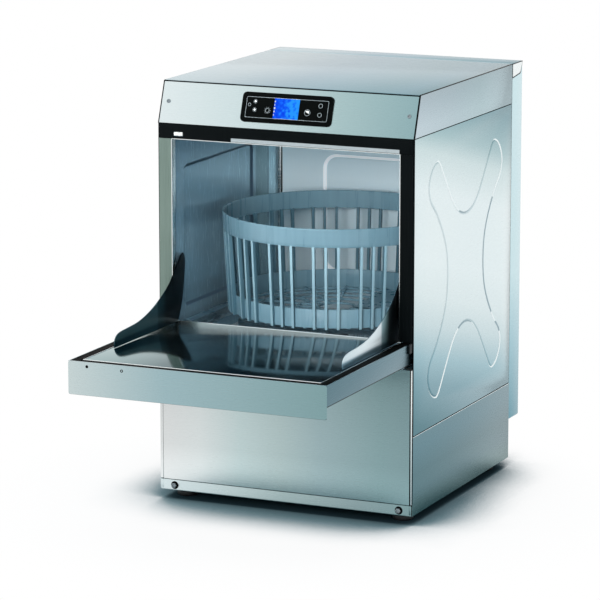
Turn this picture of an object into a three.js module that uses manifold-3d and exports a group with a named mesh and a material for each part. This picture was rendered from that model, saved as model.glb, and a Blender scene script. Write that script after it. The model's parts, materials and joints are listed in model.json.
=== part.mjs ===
// Under-counter glass washer with a drop-down door and a round slide-out basket.
// Units are millimetres, +Z is up, +Y points from the door to the rear.
// While it is built, y = 0 is the front plane of the cabinet and z = 0 is the floor.
// The finished group is moved so that its origin is the bottom centre of its box.

import * as THREE from "three";
import { mergeVertices } from "three/addons/utils/BufferGeometryUtils.js";
import Module from "manifold-3d";

const wasm = await Module();
wasm.setup();

// ---- driving dimensions -------------------------------------------------

const WIDTH = 430;
const DEPTH = 414; // side panels, front plane to back panel
const REAR_DEPTH = 48; // rear pipe cover behind the back panel
const FOOT_HEIGHT = 15;
const HOOD_Z = 599; // lower edge of the hood
const TOP_Z = 664;
const HOOD_SET_BACK = 23; // how far the control fascia leans back at its top
const SHEET = 1.5; // stainless sheet
const GAP = 0.3; // clearance between neighbouring pieces
const HALF = WIDTH / 2;
const INSIDE = HALF - SHEET; // inner face of the side panels

// door frame and chamber
const FRAME_HALF = 191; // half width of the door opening
const FRAME_TOP = 576; // top of the door opening
const CHAMBER_HALF = 192; // inner face of the chamber side walls
const CHAMBER_BACK = 404; // inner face of the chamber back wall
const CEILING_Z = 590;
const TANK_TOP = 240;
const TANK_FLOOR = 178; // underside of the tank floor
const TANK_FRONT = 18;
const WASH_CENTRE_Y = 203; // spray arms and basket turn about this point
const WALL_GAP = 0.4;

// door, drawn open
const DOOR_HALF = 210;
const DOOR_REACH = 316; // front face of the lip, in front of the cabinet
const DOOR_TOP = 286; // inner face, level with the basket rails
const DOOR_THICK = 33.5;
const DOOR_HEEL = 16; // how far the door reaches behind the front plane
const LIP_HEIGHT = 51;
const HINGE_Y = -4;
const HINGE_Z = 282.5;
const EAR_X = 186.8; // inner face of the splash guards on the door

// base
const BASE_Z = FOOT_HEIGHT;
const KICK_TOP = 31.6;
const FRONT_PANEL_TOP = 244;
const FRONT_PANEL_HALF = 209.5;
const LOWER_SIDE_TOP = 139.6;

// basket
const BASKET_RADIUS = 182;
const BASKET_HEIGHT = 160;
const BASKET_BASE_RADIUS = 173;
const BASKET_Z = DOOR_TOP + GAP;
const BASKET_GROUPS = 15;
const RIBS_PER_GROUP = 3;

// control panel, in the plane of the fascia: u across, v up the slope
const BEZEL_WIDTH = 152;
const BEZEL_HEIGHT = 47;
const BEZEL_V = 34;
const BEZEL_CORNER = 7;
const BEZEL_THICK = 1.4;
const BEZEL_OPENING = [72, 19]; // half width and half height of the hole behind the bezel
const SCREEN = { u: -1, width: 42, height: 32 };
const KEY_THICK = 3;
const KEYS = [
  { name: "key_power", u: -63, v: 37.5, radius: 3.2 },
  { name: "key_program", u: -32, v: 30, radius: 4.2 },
  { name: "key_start", u: 34.7, v: 30.2, radius: 6 },
  { name: "key_up", u: 55.5, v: 42, radius: 4.2 },
  { name: "key_down", u: 55.5, v: 27.8, radius: 4.2 },
];
const BOARD = { width: 140, height: 34, depth: 14, thick: 2.5 };

// ---- materials ----------------------------------------------------------

const material = (color, roughness, metalness) =>
  new THREE.MeshStandardMaterial({ color, roughness, metalness });

const steel = material(0xb9c6c8, 0.3, 1);
const chamberSteel = material(0x9fb2b8, 0.25, 1);
const darkSteel = material(0x23282b, 0.35, 0.8);
const blackPlastic = material(0x101214, 0.4, 0);
const basketPlastic = material(0x7f9daa, 0.45, 0);
const rubber = material(0x0c0d0e, 0.8, 0);
const glassBlue = material(0x1450ff, 0.15, 0);
const greyPlastic = material(0x8b9499, 0.5, 0);
const whitePlastic = material(0xd8dcda, 0.45, 0);
const boardGreen = material(0x1f5a3c, 0.6, 0);
const motorGrey = material(0x4a5257, 0.5, 0.6);

// ---- geometry helpers ---------------------------------------------------

const washer = new THREE.Group();

function add(name, geometry, finish, parent = washer) {
  const mesh = new THREE.Mesh(geometry, finish);
  mesh.name = name;
  parent.add(mesh);
  return mesh;
}

function box([x0, x1], [y0, y1], [z0, z1]) {
  const geometry = new THREE.BoxGeometry(x1 - x0, y1 - y0, z1 - z0);
  return geometry.translate((x0 + x1) / 2, (y0 + y1) / 2, (z0 + z1) / 2);
}

function shapeOf(points, holes = []) {
  const shape = new THREE.Shape(points.map(([a, b]) => new THREE.Vector2(a, b)));
  shape.holes.push(...holes);
  return shape;
}

const rectangle = (a0, a1, b0, b1) => [[a0, b0], [a1, b0], [a1, b1], [a0, b1]];

const pathOf = (points) => new THREE.Path(points.map(([a, b]) => new THREE.Vector2(a, b)));

function circle(a, b, radius, steps = 16) {
  const points = [];
  for (let i = 0; i < steps; i++) {
    const angle = (2 * Math.PI * i) / steps;
    points.push([a + radius * Math.cos(angle), b + radius * Math.sin(angle)]);
  }
  return pathOf(points);
}

const extrude = (shape, depth, curveSegments = 6) =>
  new THREE.ExtrudeGeometry(shape, { depth, bevelEnabled: false, curveSegments });

// A shape drawn in (y, z), extruded from x0 to x1.
function prismX(shape, [x0, x1]) {
  const turn = new THREE.Matrix4().makeBasis(
    new THREE.Vector3(0, 1, 0),
    new THREE.Vector3(0, 0, 1),
    new THREE.Vector3(1, 0, 0),
  );
  return extrude(shape, x1 - x0).applyMatrix4(turn).translate(x0, 0, 0);
}

// A shape drawn in (x, z), extruded from y0 to y1.
const prismY = (shape, [y0, y1]) =>
  extrude(shape, y1 - y0).rotateX(Math.PI / 2).translate(0, y1, 0);

// A shape drawn in (x, y), extruded from z0 to z1.
const prismZ = (shape, [z0, z1]) => extrude(shape, z1 - z0).translate(0, 0, z0);

// A closed profile of (radius, height) turned about a vertical axis through (x, y).
function turned(profile, x, y, segments = 24) {
  const points = profile.map(([r, z]) => new THREE.Vector2(r, z));
  return new THREE.LatheGeometry(points, segments).rotateX(Math.PI / 2).translate(x, y, 0);
}

// The same profile about an axis along Y; heights run from front to back.
function turnedAlongY(profile, x, z, segments = 24) {
  const points = profile.map(([r, y]) => new THREE.Vector2(r, y));
  return new THREE.LatheGeometry(points, segments).translate(x, 0, z);
}

const ring = (inner, outer, low, high) =>
  [[inner, low], [outer, low], [outer, high], [inner, high], [inner, low]];
const disc = (radius, low, high) => [[0, low], [radius, low], [radius, high], [0, high]];

function solid(geometry) {
  const bare = new THREE.BufferGeometry();
  const source = geometry.index ? geometry.toNonIndexed() : geometry;
  bare.setAttribute("position", source.getAttribute("position"));
  const merged = mergeVertices(bare, 1e-3);
  return new wasm.Manifold(
    new wasm.Mesh({
      numProp: 3,
      vertProperties: new Float32Array(merged.attributes.position.array),
      triVerts: new Uint32Array(merged.index.array),
    }),
  );
}

function geometryOf(manifold) {
  const mesh = manifold.getMesh();
  const geometry = new THREE.BufferGeometry();
  geometry.setAttribute("position", new THREE.BufferAttribute(mesh.vertProperties, 3));
  geometry.setIndex(new THREE.BufferAttribute(mesh.triVerts, 1));
  const flat = geometry.toNonIndexed();
  flat.computeVertexNormals();
  return flat;
}

const joined = (...pieces) => geometryOf(pieces.map(solid).reduce((all, one) => all.add(one)));

function cut(body, ...tools) {
  return geometryOf(tools.map(solid).reduce((left, tool) => left.subtract(tool), solid(body)));
}

const sides = [["left", -1], ["right", 1]];

// A span of |x| on one side of the machine, low end first.
const across = (side, near, far) => (side < 0 ? [-far, -near] : [near, far]);

// ---- feet and base ------------------------------------------------------

const FOOT_X = 185;
const FOOT_FRONT_Y = 36;
const FOOT_BACK_Y = 378;
const STUD_RADIUS = 4.6;
const STUD_HOLE = 5.4;

function buildFeet() {
  const pad = [[0, 0], [14, 0], [16, 2], [16, 8], [11, 12], [STUD_RADIUS, 12], [STUD_RADIUS, 38], [0, 38]];
  for (const [sideName, side] of sides) {
    for (const [endName, y] of [["front", FOOT_FRONT_Y], ["back", FOOT_BACK_Y]]) {
      add(`foot_${endName}_${sideName}`, turned(pad, side * FOOT_X, y, 16), blackPlastic);
    }
  }
}

function buildBase() {
  const holes = [];
  for (const x of [-FOOT_X, FOOT_X]) {
    for (const y of [FOOT_FRONT_Y, FOOT_BACK_Y]) {
      holes.push(circle(x, y, STUD_HOLE, 12));
    }
  }
  const reach = INSIDE - GAP;
  const floor = shapeOf(rectangle(-reach, reach, 0, DEPTH - 2 * SHEET), holes);
  const tray = joined(
    prismZ(floor, [BASE_Z, BASE_Z + 2]),
    box([-FRONT_PANEL_HALF, FRONT_PANEL_HALF], [0, SHEET], [BASE_Z, KICK_TOP]),
  );
  add("base_tray", tray, steel);
}

// ---- outer panels -------------------------------------------------------

const FLANGE_INNER = 209.8; // front return flange beside the front panel

function buildSides() {
  for (const [sideName, side] of sides) {
    const skin = across(side, INSIDE, HALF);
    const flange = across(side, FLANGE_INNER, INSIDE + 0.5);
    const upper = joined(
      box(skin, [0, DEPTH], [LOWER_SIDE_TOP + 0.8, HOOD_Z]),
      box(flange, [0, SHEET], [LOWER_SIDE_TOP + 0.8, FRONT_PANEL_TOP]),
    );
    const lower = joined(
      box(skin, [0, DEPTH], [BASE_Z, LOWER_SIDE_TOP]),
      box(flange, [0, SHEET], [BASE_Z + 2 + GAP, LOWER_SIDE_TOP]),
    );
    add(`side_panel_${sideName}`, upper, steel);
    add(`lower_side_${sideName}`, lower, steel);
  }
}

const RISER_X = -187;
const RISER_LOW_Z = 120;
const RISER_TOP_Z = 628;
const RISER_RADIUS = 11;
const OUTLET_Z = 50;
const DRAIN_X = 40;
const GLAND_X = 110;
const INLET_X = -45;
const INLET_Z = 48;

function buildRear() {
  const holes = [
    circle(RISER_X, RISER_LOW_Z, 16),
    circle(RISER_X, RISER_TOP_Z, 16),
    circle(DRAIN_X, OUTLET_Z, 13),
    circle(GLAND_X, OUTLET_Z, 9),
    circle(INLET_X, INLET_Z, 14.5),
  ];
  const reach = INSIDE - GAP;
  const panel = shapeOf(rectangle(-reach, reach, BASE_Z + 2 + GAP, TOP_Z - 2), holes);
  add("back_panel", prismY(panel, [DEPTH - SHEET, DEPTH]), steel);

  const front = DEPTH + GAP;
  const back = DEPTH + REAR_DEPTH;
  const low = BASE_Z + 63;
  const cover = cut(
    box([-HALF, HALF], [front, back], [low, TOP_Z]),
    box([-HALF + SHEET, HALF - SHEET], [front - 1, back - SHEET], [low + SHEET, TOP_Z - SHEET]),
  );
  add("rear_cover", cover, steel);
}

const CATCH = [-188, -172, 580, 587]; // left, right, lower and upper edge of its slot

function buildFront() {
  const lower = [-FRONT_PANEL_HALF, FRONT_PANEL_HALF];
  add("front_panel", box(lower, [0, SHEET], [KICK_TOP + 0.6, FRONT_PANEL_TOP]), steel);
  for (const [sideName, side] of sides) {
    const jamb = box(across(side, FRAME_HALF, INSIDE - GAP), [0, SHEET], [DOOR_TOP + 1, FRAME_TOP - GAP]);
    add(`jamb_${sideName}`, jamb, darkSteel);
  }
  const reach = INSIDE - GAP;
  const [left, right, low, high] = CATCH;
  const lintel = shapeOf(rectangle(-reach, reach, FRAME_TOP, HOOD_Z - GAP), [pathOf(rectangle(...CATCH))]);
  add("lintel", prismY(lintel, [0, SHEET]), darkSteel);
  const clear = 2 * GAP;
  add("door_catch", box([left + clear, right - clear], [0, 9], [low + clear, high - clear]), whitePlastic);
}

// ---- hood and controls --------------------------------------------------

const FASCIA_RISE = TOP_Z - HOOD_Z;
const FASCIA_TILT = Math.atan2(HOOD_SET_BACK, FASCIA_RISE);
const FASCIA_LENGTH = Math.hypot(HOOD_SET_BACK, FASCIA_RISE);

function buildTopCover() {
  const skirt = shapeOf([
    [2, HOOD_Z + GAP],
    [DEPTH, HOOD_Z + GAP],
    [DEPTH, TOP_Z],
    [HOOD_SET_BACK + 2, TOP_Z],
  ]);
  const top = box([-HALF, HALF], [HOOD_SET_BACK + 2, DEPTH], [TOP_Z - SHEET, TOP_Z]);
  const skins = sides.map(([, side]) => prismX(skirt, across(side, INSIDE, HALF)));
  add("top_cover", joined(top, ...skins), steel);
}

// The control group lies in the plane of the fascia: x across, y up the slope, z outwards.
function buildControls() {
  const controls = new THREE.Group();
  controls.position.set(0, 0, HOOD_Z + GAP);
  controls.rotation.x = Math.PI / 2 - FASCIA_TILT;
  washer.add(controls);

  const [openHalfU, openHalfV] = BEZEL_OPENING;
  const opening = rectangle(-openHalfU, openHalfU, BEZEL_V - openHalfV, BEZEL_V + openHalfV);
  const fascia = shapeOf(rectangle(-HALF, HALF, 0.4, FASCIA_LENGTH - 0.6), [pathOf(opening)]);
  add("control_fascia", prismZ(fascia, [-SHEET, 0]), steel, controls);

  const screenSpan = (grow) => [
    SCREEN.u - SCREEN.width / 2 - grow,
    SCREEN.u + SCREEN.width / 2 + grow,
    BEZEL_V - SCREEN.height / 2 - grow,
    BEZEL_V + SCREEN.height / 2 + grow,
  ];
  const bezel = roundedRectangle(BEZEL_WIDTH, BEZEL_HEIGHT, BEZEL_CORNER, 0, BEZEL_V);
  bezel.holes.push(...KEYS.map((key) => circle(key.u, key.v, key.radius + GAP)));
  bezel.holes.push(pathOf(rectangle(...screenSpan(GAP))));
  const face = GAP + BEZEL_THICK;
  add("control_bezel", prismZ(bezel, [GAP, face]), blackPlastic, controls);

  for (const { name, u, v, radius } of KEYS) {
    const cap = new THREE.CylinderGeometry(radius, radius, KEY_THICK, 16).rotateX(Math.PI / 2);
    add(name, cap.translate(u, v, face - KEY_THICK / 2), greyPlastic, controls);
  }
  const [left, right, bottom, top] = screenSpan(0);
  add("display_screen", box([left, right], [bottom, top], [-4, face - 0.2]), glassBlue, controls);
  const boardV = [BEZEL_V - BOARD.height / 2, BEZEL_V + BOARD.height / 2];
  const board = box([-BOARD.width / 2, BOARD.width / 2], boardV, [-BOARD.depth, -BOARD.depth + BOARD.thick]);
  add("control_board", board, boardGreen, controls);
}

function roundedRectangle(width, height, radius, u, v) {
  const shape = new THREE.Shape();
  const right = u + width / 2;
  const left = u - width / 2;
  const top = v + height / 2;
  const bottom = v - height / 2;
  shape.moveTo(left + radius, bottom);
  shape.lineTo(right - radius, bottom);
  shape.absarc(right - radius, bottom + radius, radius, -Math.PI / 2, 0);
  shape.absarc(right - radius, top - radius, radius, 0, Math.PI / 2);
  shape.absarc(left + radius, top - radius, radius, Math.PI / 2, Math.PI);
  shape.absarc(left + radius, bottom + radius, radius, Math.PI, 1.5 * Math.PI);
  return shape;
}

// ---- wash chamber -------------------------------------------------------

function buildChamber() {
  const height = [TANK_TOP + WALL_GAP, CEILING_Z - WALL_GAP];
  const outer = CHAMBER_HALF + SHEET;
  const heelTop = DOOR_TOP + 1.4; // the heel of the door turns in front of the walls below this
  const outline = shapeOf([
    [TANK_FRONT, height[0]],
    [CHAMBER_BACK + SHEET, height[0]],
    [CHAMBER_BACK + SHEET, height[1]],
    [2, height[1]],
    [2, heelTop],
    [TANK_FRONT, heelTop],
  ]);
  for (const [sideName, side] of sides) {
    add(`chamber_wall_${sideName}`, prismX(outline, across(side, CHAMBER_HALF, outer)), chamberSteel);
  }
  const inner = CHAMBER_HALF - GAP;
  add("chamber_wall_back", box([-inner, inner], [CHAMBER_BACK, CHAMBER_BACK + SHEET], height), chamberSteel);
  const feed = circle(0, WASH_CENTRE_Y, RISER_RADIUS + 2);
  const ceiling = shapeOf(rectangle(-outer, outer, 2, CHAMBER_BACK + SHEET), [feed]);
  add("chamber_ceiling", prismZ(ceiling, [CEILING_Z, CEILING_Z + SHEET]), chamberSteel);
}

const SUMP = { x: -80, y: 112, half: 46, floor: 150 };
const STANDPIPE = { x: 146, y: 365, radius: 16 };

function buildTank() {
  const outer = CHAMBER_HALF + SHEET;
  const back = CHAMBER_BACK + SHEET;
  const floorTop = TANK_FLOOR + SHEET;
  const sumpX = [SUMP.x - SUMP.half, SUMP.x + SUMP.half];
  const sumpY = [SUMP.y - SUMP.half, SUMP.y + SUMP.half];
  const grow = ([low, high]) => [low - SHEET, high + SHEET];
  const sillTop = DOOR_TOP - 3;
  const shell = joined(
    box([-outer, outer], [TANK_FRONT, back], [TANK_FLOOR, TANK_TOP]),
    box(grow(sumpX), grow(sumpY), [SUMP.floor, floorTop]),
    box([-184, 184], [TANK_FRONT, TANK_FRONT + SHEET], [TANK_FLOOR, sillTop]),
  );
  const tank = cut(
    shell,
    box([-CHAMBER_HALF, CHAMBER_HALF], [TANK_FRONT + SHEET, CHAMBER_BACK], [floorTop, TANK_TOP + 1]),
    box(sumpX, sumpY, [SUMP.floor + SHEET, floorTop + 1]),
    turned(disc(STANDPIPE.radius + 0.5, TANK_FLOOR - 5, floorTop + 5), STANDPIPE.x, STANDPIPE.y),
    turned(disc(12, SUMP.floor - 5, SUMP.floor + 5), SUMP.x, SUMP.y),
  );
  add("wash_tank", tank, chamberSteel);

  const filter = ring(30, 32, SUMP.floor + SHEET + GAP, floorTop + 30);
  add("sump_filter", turned(filter, SUMP.x, SUMP.y), greyPlastic);

  const pipe = [
    [9, TANK_FLOOR - 6],
    [STANDPIPE.radius, TANK_FLOOR - 6],
    [STANDPIPE.radius, 226],
    [STANDPIPE.radius + 3, 228],
    [STANDPIPE.radius + 3, 236],
    [9, 236],
    [9, TANK_FLOOR - 6],
  ];
  add("standpipe", turned(pipe, STANDPIPE.x, STANDPIPE.y), whitePlastic);
}

function tube(points, radius, sidesAround, steps) {
  const curve = new THREE.CatmullRomCurve3(points.map((p) => new THREE.Vector3(...p)), false, "centripetal");
  const section = new THREE.Shape(circle(0, 0, radius, sidesAround).getPoints());
  return new THREE.ExtrudeGeometry(section, { extrudePath: curve, steps, bevelEnabled: false });
}

function buildHeater() {
  const z = 194;
  const back = CHAMBER_BACK - GAP;
  const loop = [[68, back, z], [68, 380, z], [68, 120, z], [74, 98, z], [90, 88, z]];
  loop.push([106, 98, z], [112, 120, z], [112, 380, z], [112, back, z]);
  add("tank_heater", tube(loop, 4, 8, 40), steel);
}

function buildRails() {
  for (const [sideName, side] of sides) {
    const run = [TANK_FRONT + SHEET + 1, CHAMBER_BACK - GAP];
    const rail = joined(
      box(across(side, 168, 183), run, [DOOR_TOP - SHEET, DOOR_TOP]),
      box(across(side, 181.5, 183), run, [262, DOOR_TOP]),
    );
    add(`basket_rail_${sideName}`, rail, chamberSteel);
  }
}

// ---- spray arms ---------------------------------------------------------

const SPINDLE_RADIUS = 8;
const ARM_BORE = SPINDLE_RADIUS + 0.5;
const ARM_REACH = 165;

// A flat arm with round ends and a round boss, drawn along an angle about its spindle.
function armShape(halfWidth, bossRadius, angle) {
  const points = [];
  const blend = Math.asin(halfWidth / bossRadius);
  for (const end of [0, Math.PI]) {
    for (let i = -3; i <= 3; i++) {
      const t = (i * Math.PI) / 6;
      const x = ARM_REACH - halfWidth + halfWidth * Math.cos(t);
      const y = halfWidth * Math.sin(t);
      points.push(turn2(x, y, end + angle));
    }
    for (let i = 0; i <= 4; i++) {
      const t = blend + (i * (Math.PI - 2 * blend)) / 4;
      points.push(turn2(bossRadius * Math.cos(t), bossRadius * Math.sin(t), end + angle));
    }
  }
  return shapeOf(points, [circle(0, 0, ARM_BORE)]);
}

const turn2 = (x, y, angle) => [
  x * Math.cos(angle) - y * Math.sin(angle),
  x * Math.sin(angle) + y * Math.cos(angle),
];

function buildArms() {
  const place = (geometry) => geometry.translate(0, WASH_CENTRE_Y, 0);
  const washAngle = 0.12;
  const rinseAngle = -0.2;
  const pillar = [
    [0, TANK_FLOOR + SHEET + GAP],
    [30, TANK_FLOOR + SHEET + GAP],
    [30, 186],
    [18, 190],
    [18, 247],
    [SPINDLE_RADIUS, 247],
    [SPINDLE_RADIUS, 278],
    [0, 278],
  ];
  add("lower_arm_hub", turned(pillar, 0, WASH_CENTRE_Y), greyPlastic);
  add("lower_wash_arm", place(prismZ(armShape(15, 22, washAngle), [248, 261])), chamberSteel);
  add("lower_rinse_arm", place(prismZ(armShape(7, 16, rinseAngle), [264, 271])), chamberSteel);

  const hanger = [
    [0, 546],
    [SPINDLE_RADIUS, 546],
    [SPINDLE_RADIUS, 575],
    [18, 575],
    [18, CEILING_Z - GAP],
    [0, CEILING_Z - GAP],
  ];
  add("upper_arm_hub", turned(hanger, 0, WASH_CENTRE_Y), greyPlastic);
  add("upper_wash_arm", place(prismZ(armShape(15, 22, washAngle), [561, 573])), chamberSteel);
  add("upper_rinse_arm", place(prismZ(armShape(7, 16, rinseAngle), [551, 558])), chamberSteel);
}

// ---- machine compartment ------------------------------------------------

const PUMP = { x: -118, y: 210, z: 96, radius: 54, half: 20, inlet: 16 };
const MOTOR = { radius: 42, length: 120 };
const BOILER = { x: 132, z: 92, wall: 2, head: 26, port: 6 };
const DRAIN_PUMP = { x: 5, z: 60 };
const DOSER = { half: 30, front: 36, back: 92, low: 42, high: 104, z: 73, head: 26 };

function buildMachinery() {
  const faceY = [PUMP.y - PUMP.half, PUMP.y + PUMP.half];
  const scroll = turnedAlongY(disc(PUMP.radius, ...faceY), PUMP.x, PUMP.z);
  const inlet = turnedAlongY(disc(PUMP.inlet, faceY[0] - 40, faceY[0] + 1), PUMP.x, PUMP.z, 16);
  add("wash_pump_housing", joined(scroll, inlet), blackPlastic);
  const motor = turnedAlongY(disc(MOTOR.radius, faceY[1] + GAP, faceY[1] + MOTOR.length), PUMP.x, PUMP.z);
  const terminals = box([PUMP.x - 20, PUMP.x + 20], [PUMP.y + 60, PUMP.y + 110], [PUMP.z + 35, PUMP.z + 60]);
  add("wash_pump_motor", joined(motor, terminals), motorGrey);

  const vessel = (wall) => [
    [0, 120 + wall],
    [40 - wall, 120 + wall],
    [60 - wall, 135 + wall],
    [60 - wall, 365 - wall],
    [40 - wall, 380 - wall],
    [0, 380 - wall],
  ];
  const boiler = cut(
    joined(
      turnedAlongY(vessel(0), BOILER.x, BOILER.z),
      turnedAlongY(disc(BOILER.head, 102, 121), BOILER.x, BOILER.z, 16),
    ),
    turnedAlongY(vessel(BOILER.wall), BOILER.x, BOILER.z),
    turnedAlongY(disc(BOILER.port, 370, 390), BOILER.x, BOILER.z, 16),
  );
  add("boiler", boiler, chamberSteel);

  const drain = turnedAlongY(disc(27, 290, 350), DRAIN_PUMP.x, DRAIN_PUMP.z);
  const volute = turnedAlongY(disc(34, 268, 291), DRAIN_PUMP.x, DRAIN_PUMP.z);
  add("drain_pump", joined(drain, volute), blackPlastic);

  for (const [name, x] of [["detergent_doser", -158], ["rinse_aid_doser", -84]]) {
    const body = box([x - DOSER.half, x + DOSER.half], [DOSER.front, DOSER.back], [DOSER.low, DOSER.high]);
    const head = turnedAlongY(disc(DOSER.head, DOSER.front - 14, DOSER.front + 1), x, DOSER.z);
    add(name, joined(body, head), greyPlastic);
  }

  const valve = box([INLET_X - 18, INLET_X + 18], [372, 408], [28, 68]);
  const coil = turned(disc(13, 67, 96), INLET_X, 390, 16);
  const thread = turnedAlongY(ring(9, 13, 407, 440), INLET_X, INLET_Z);
  add("inlet_valve", joined(valve, coil, thread), whitePlastic);

  const spout = turnedAlongY(ring(8.5, 11.5, 392, 452), DRAIN_X, OUTLET_Z);
  const collar = turnedAlongY(ring(8.5, 17, DEPTH + GAP, DEPTH + 5), DRAIN_X, OUTLET_Z);
  add("drain_spigot", joined(spout, collar), greyPlastic);

  const gland = turnedAlongY(ring(3.6, 8.4, 400, 440), GLAND_X, OUTLET_Z, 16);
  const nut = turnedAlongY(ring(3.6, 13, DEPTH + GAP, DEPTH + 12), GLAND_X, OUTLET_Z, 6);
  add("cable_gland", joined(gland, nut), blackPlastic);
}

function buildRiser() {
  const y = DEPTH + REAR_DEPTH / 2;
  const route = [
    [RISER_X, PUMP.y, RISER_LOW_Z],
    [RISER_X, 300, RISER_LOW_Z],
    [RISER_X, 385, RISER_LOW_Z],
    [RISER_X, DEPTH + 4, RISER_LOW_Z],
    [RISER_X, y - 1, RISER_LOW_Z + 14],
    [RISER_X, y, RISER_LOW_Z + 50],
    [RISER_X, y, 350],
    [RISER_X, y, RISER_TOP_Z - 50],
    [RISER_X, y - 1, RISER_TOP_Z - 14],
    [RISER_X, DEPTH + 4, RISER_TOP_Z],
    [RISER_X, 385, RISER_TOP_Z],
    [RISER_X + 30, 330, RISER_TOP_Z],
    [-70, 235, RISER_TOP_Z],
    [-16, 207, RISER_TOP_Z - 4],
    [0, WASH_CENTRE_Y, RISER_TOP_Z - 16],
    [0, WASH_CENTRE_Y, CEILING_Z + 0.5],
  ];
  add("wash_riser_pipe", tube(route, RISER_RADIUS, 10, 64), greyPlastic);
}

// ---- door, open ---------------------------------------------------------

const RIM = 1.5; // height of the rim left outside the seal

function buildDoorCase() {
  const low = DOOR_TOP - DOOR_THICK;
  const tray = joined(
    box([-DOOR_HALF, DOOR_HALF], [-DOOR_REACH, DOOR_HEEL], [low, DOOR_TOP]),
    box([-DOOR_HALF, DOOR_HALF], [-DOOR_REACH, -DOOR_REACH + SHEET], [DOOR_TOP - LIP_HEIGHT, DOOR_TOP]),
  );
  const inner = DOOR_HALF - SHEET;
  const pinHole = turnedAlongX(disc(2.8, -HALF, HALF));
  const hollow = box([-inner, inner], [-DOOR_REACH + SHEET, DOOR_HEEL - SHEET], [low + SHEET, DOOR_TOP + 1]);
  add("door_outer_panel", cut(tray, hollow, pinHole), steel);
}

// A profile of (radius, x) about the hinge line of the door.
function turnedAlongX(profile, segments = 16) {
  const points = profile.map(([r, x]) => new THREE.Vector2(r, x));
  const geometry = new THREE.LatheGeometry(points, segments).rotateZ(-Math.PI / 2);
  return geometry.translate(0, HINGE_Y, HINGE_Z);
}

const SEAL_INNER = 194;
const SEAL_FRONT = 5;

function buildDoorSeal() {
  const outer = DOOR_HALF - SHEET - GAP;
  const front = -DOOR_REACH + SHEET + GAP;
  const back = DOOR_HEEL - SHEET - GAP;
  const outline = shapeOf([
    [-outer, back],
    [-outer, front],
    [outer, front],
    [outer, back],
    [SEAL_INNER, back],
    [SEAL_INNER, front + SEAL_FRONT],
    [-SEAL_INNER, front + SEAL_FRONT],
    [-SEAL_INNER, back],
  ]);
  add("door_seal", prismZ(outline, [DOOR_TOP - 6, DOOR_TOP]), rubber);
}

function buildDoorLiner() {
  const front = -DOOR_REACH + SHEET + SEAL_FRONT + 2 * GAP;
  const span = [front, DOOR_HEEL - SHEET - GAP];
  const top = DOOR_TOP - 1;
  const half = SEAL_INNER - GAP;
  add("door_inner_panel", box([-half, half], span, [top - SHEET, top]), chamberSteel);

  const foot = top + GAP;
  const outline = shapeOf([
    [-209, foot],
    [10, foot],
    [26, 318],
    [36, 372],
    [33, 388],
    [25, 392],
    [12, 379],
    [-18, 351],
    [-56, 332],
    [-90, 319],
    [-126, 311],
    [-190, 307],
    [-202, 303],
    [-208, 295],
  ]);
  for (const [sideName, side] of sides) {
    add(`door_ear_${sideName}`, prismX(outline, across(side, EAR_X, EAR_X + SHEET)), chamberSteel);
  }
}

function buildHinges() {
  for (const [sideName, side] of sides) {
    const plate = box(across(side, 210.5, INSIDE - GAP), [HINGE_Y - 5, 34], [272, DOOR_TOP + 0.5]);
    const pin = turnedAlongX(disc(2.4, ...across(side, 208.4, 211)));
    add(`door_hinge_${sideName}`, joined(plate, pin), darkSteel);
  }
}

// ---- basket -------------------------------------------------------------

function buildBasket() {
  const wall = 2.6;
  const bandLow = 131;
  const footBand = 31;
  const parts = [
    turned(ring(BASKET_RADIUS - wall, BASKET_RADIUS, bandLow, BASKET_HEIGHT), 0, 0, 60),
    turned(ring(BASKET_BASE_RADIUS - 6, BASKET_BASE_RADIUS - 3, 0, footBand), 0, 0, 60),
    turned(ring(60, 66, 0, 4), 0, 0, 30),
    turned(ring(112, 118, 0, 4), 0, 0, 45),
  ];
  const spokes = 12;
  for (let i = 0; i < spokes; i++) {
    const spoke = box([0, BASKET_BASE_RADIUS - 4], [-3, 3], [0, 4]);
    parts.push(spoke.rotateZ((i * 2 * Math.PI) / spokes));
  }
  const ribOutline = shapeOf([
    [BASKET_BASE_RADIUS - 4, 2],
    [BASKET_BASE_RADIUS, 2],
    [BASKET_RADIUS - 0.6, bandLow + 4],
    [BASKET_RADIUS - wall - 0.6, bandLow + 4],
  ]);
  const pitch = (2 * Math.PI) / BASKET_GROUPS;
  const ribPitch = pitch * 0.26;
  for (let group = 0; group < BASKET_GROUPS; group++) {
    for (let rib = 0; rib < RIBS_PER_GROUP; rib++) {
      const bar = extrude(ribOutline, 5).translate(0, 0, -2.5).rotateX(Math.PI / 2);
      parts.push(bar.rotateZ(group * pitch + (rib - 1) * ribPitch));
    }
  }
  const basket = joined(...parts).translate(0, WASH_CENTRE_Y, BASKET_Z);
  add("basket", basket, basketPlastic);
}

// ---- assembly -----------------------------------------------------------

buildFeet();
buildBase();
buildSides();
buildRear();
buildFront();
buildTopCover();
buildControls();
buildChamber();
buildTank();
buildHeater();
buildRails();
buildArms();
buildMachinery();
buildRiser();
buildDoorCase();
buildDoorSeal();
buildDoorLiner();
buildHinges();
buildBasket();

// Bottom centre of the box that the open door and the rear cover span.
washer.position.y = (DOOR_REACH - DEPTH - REAR_DEPTH) / 2;

export default washer;
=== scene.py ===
"""Looks of an under-counter glass washer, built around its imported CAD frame."""

import json
import math

import bmesh
import bpy
from mathutils import Matrix, Vector


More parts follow.
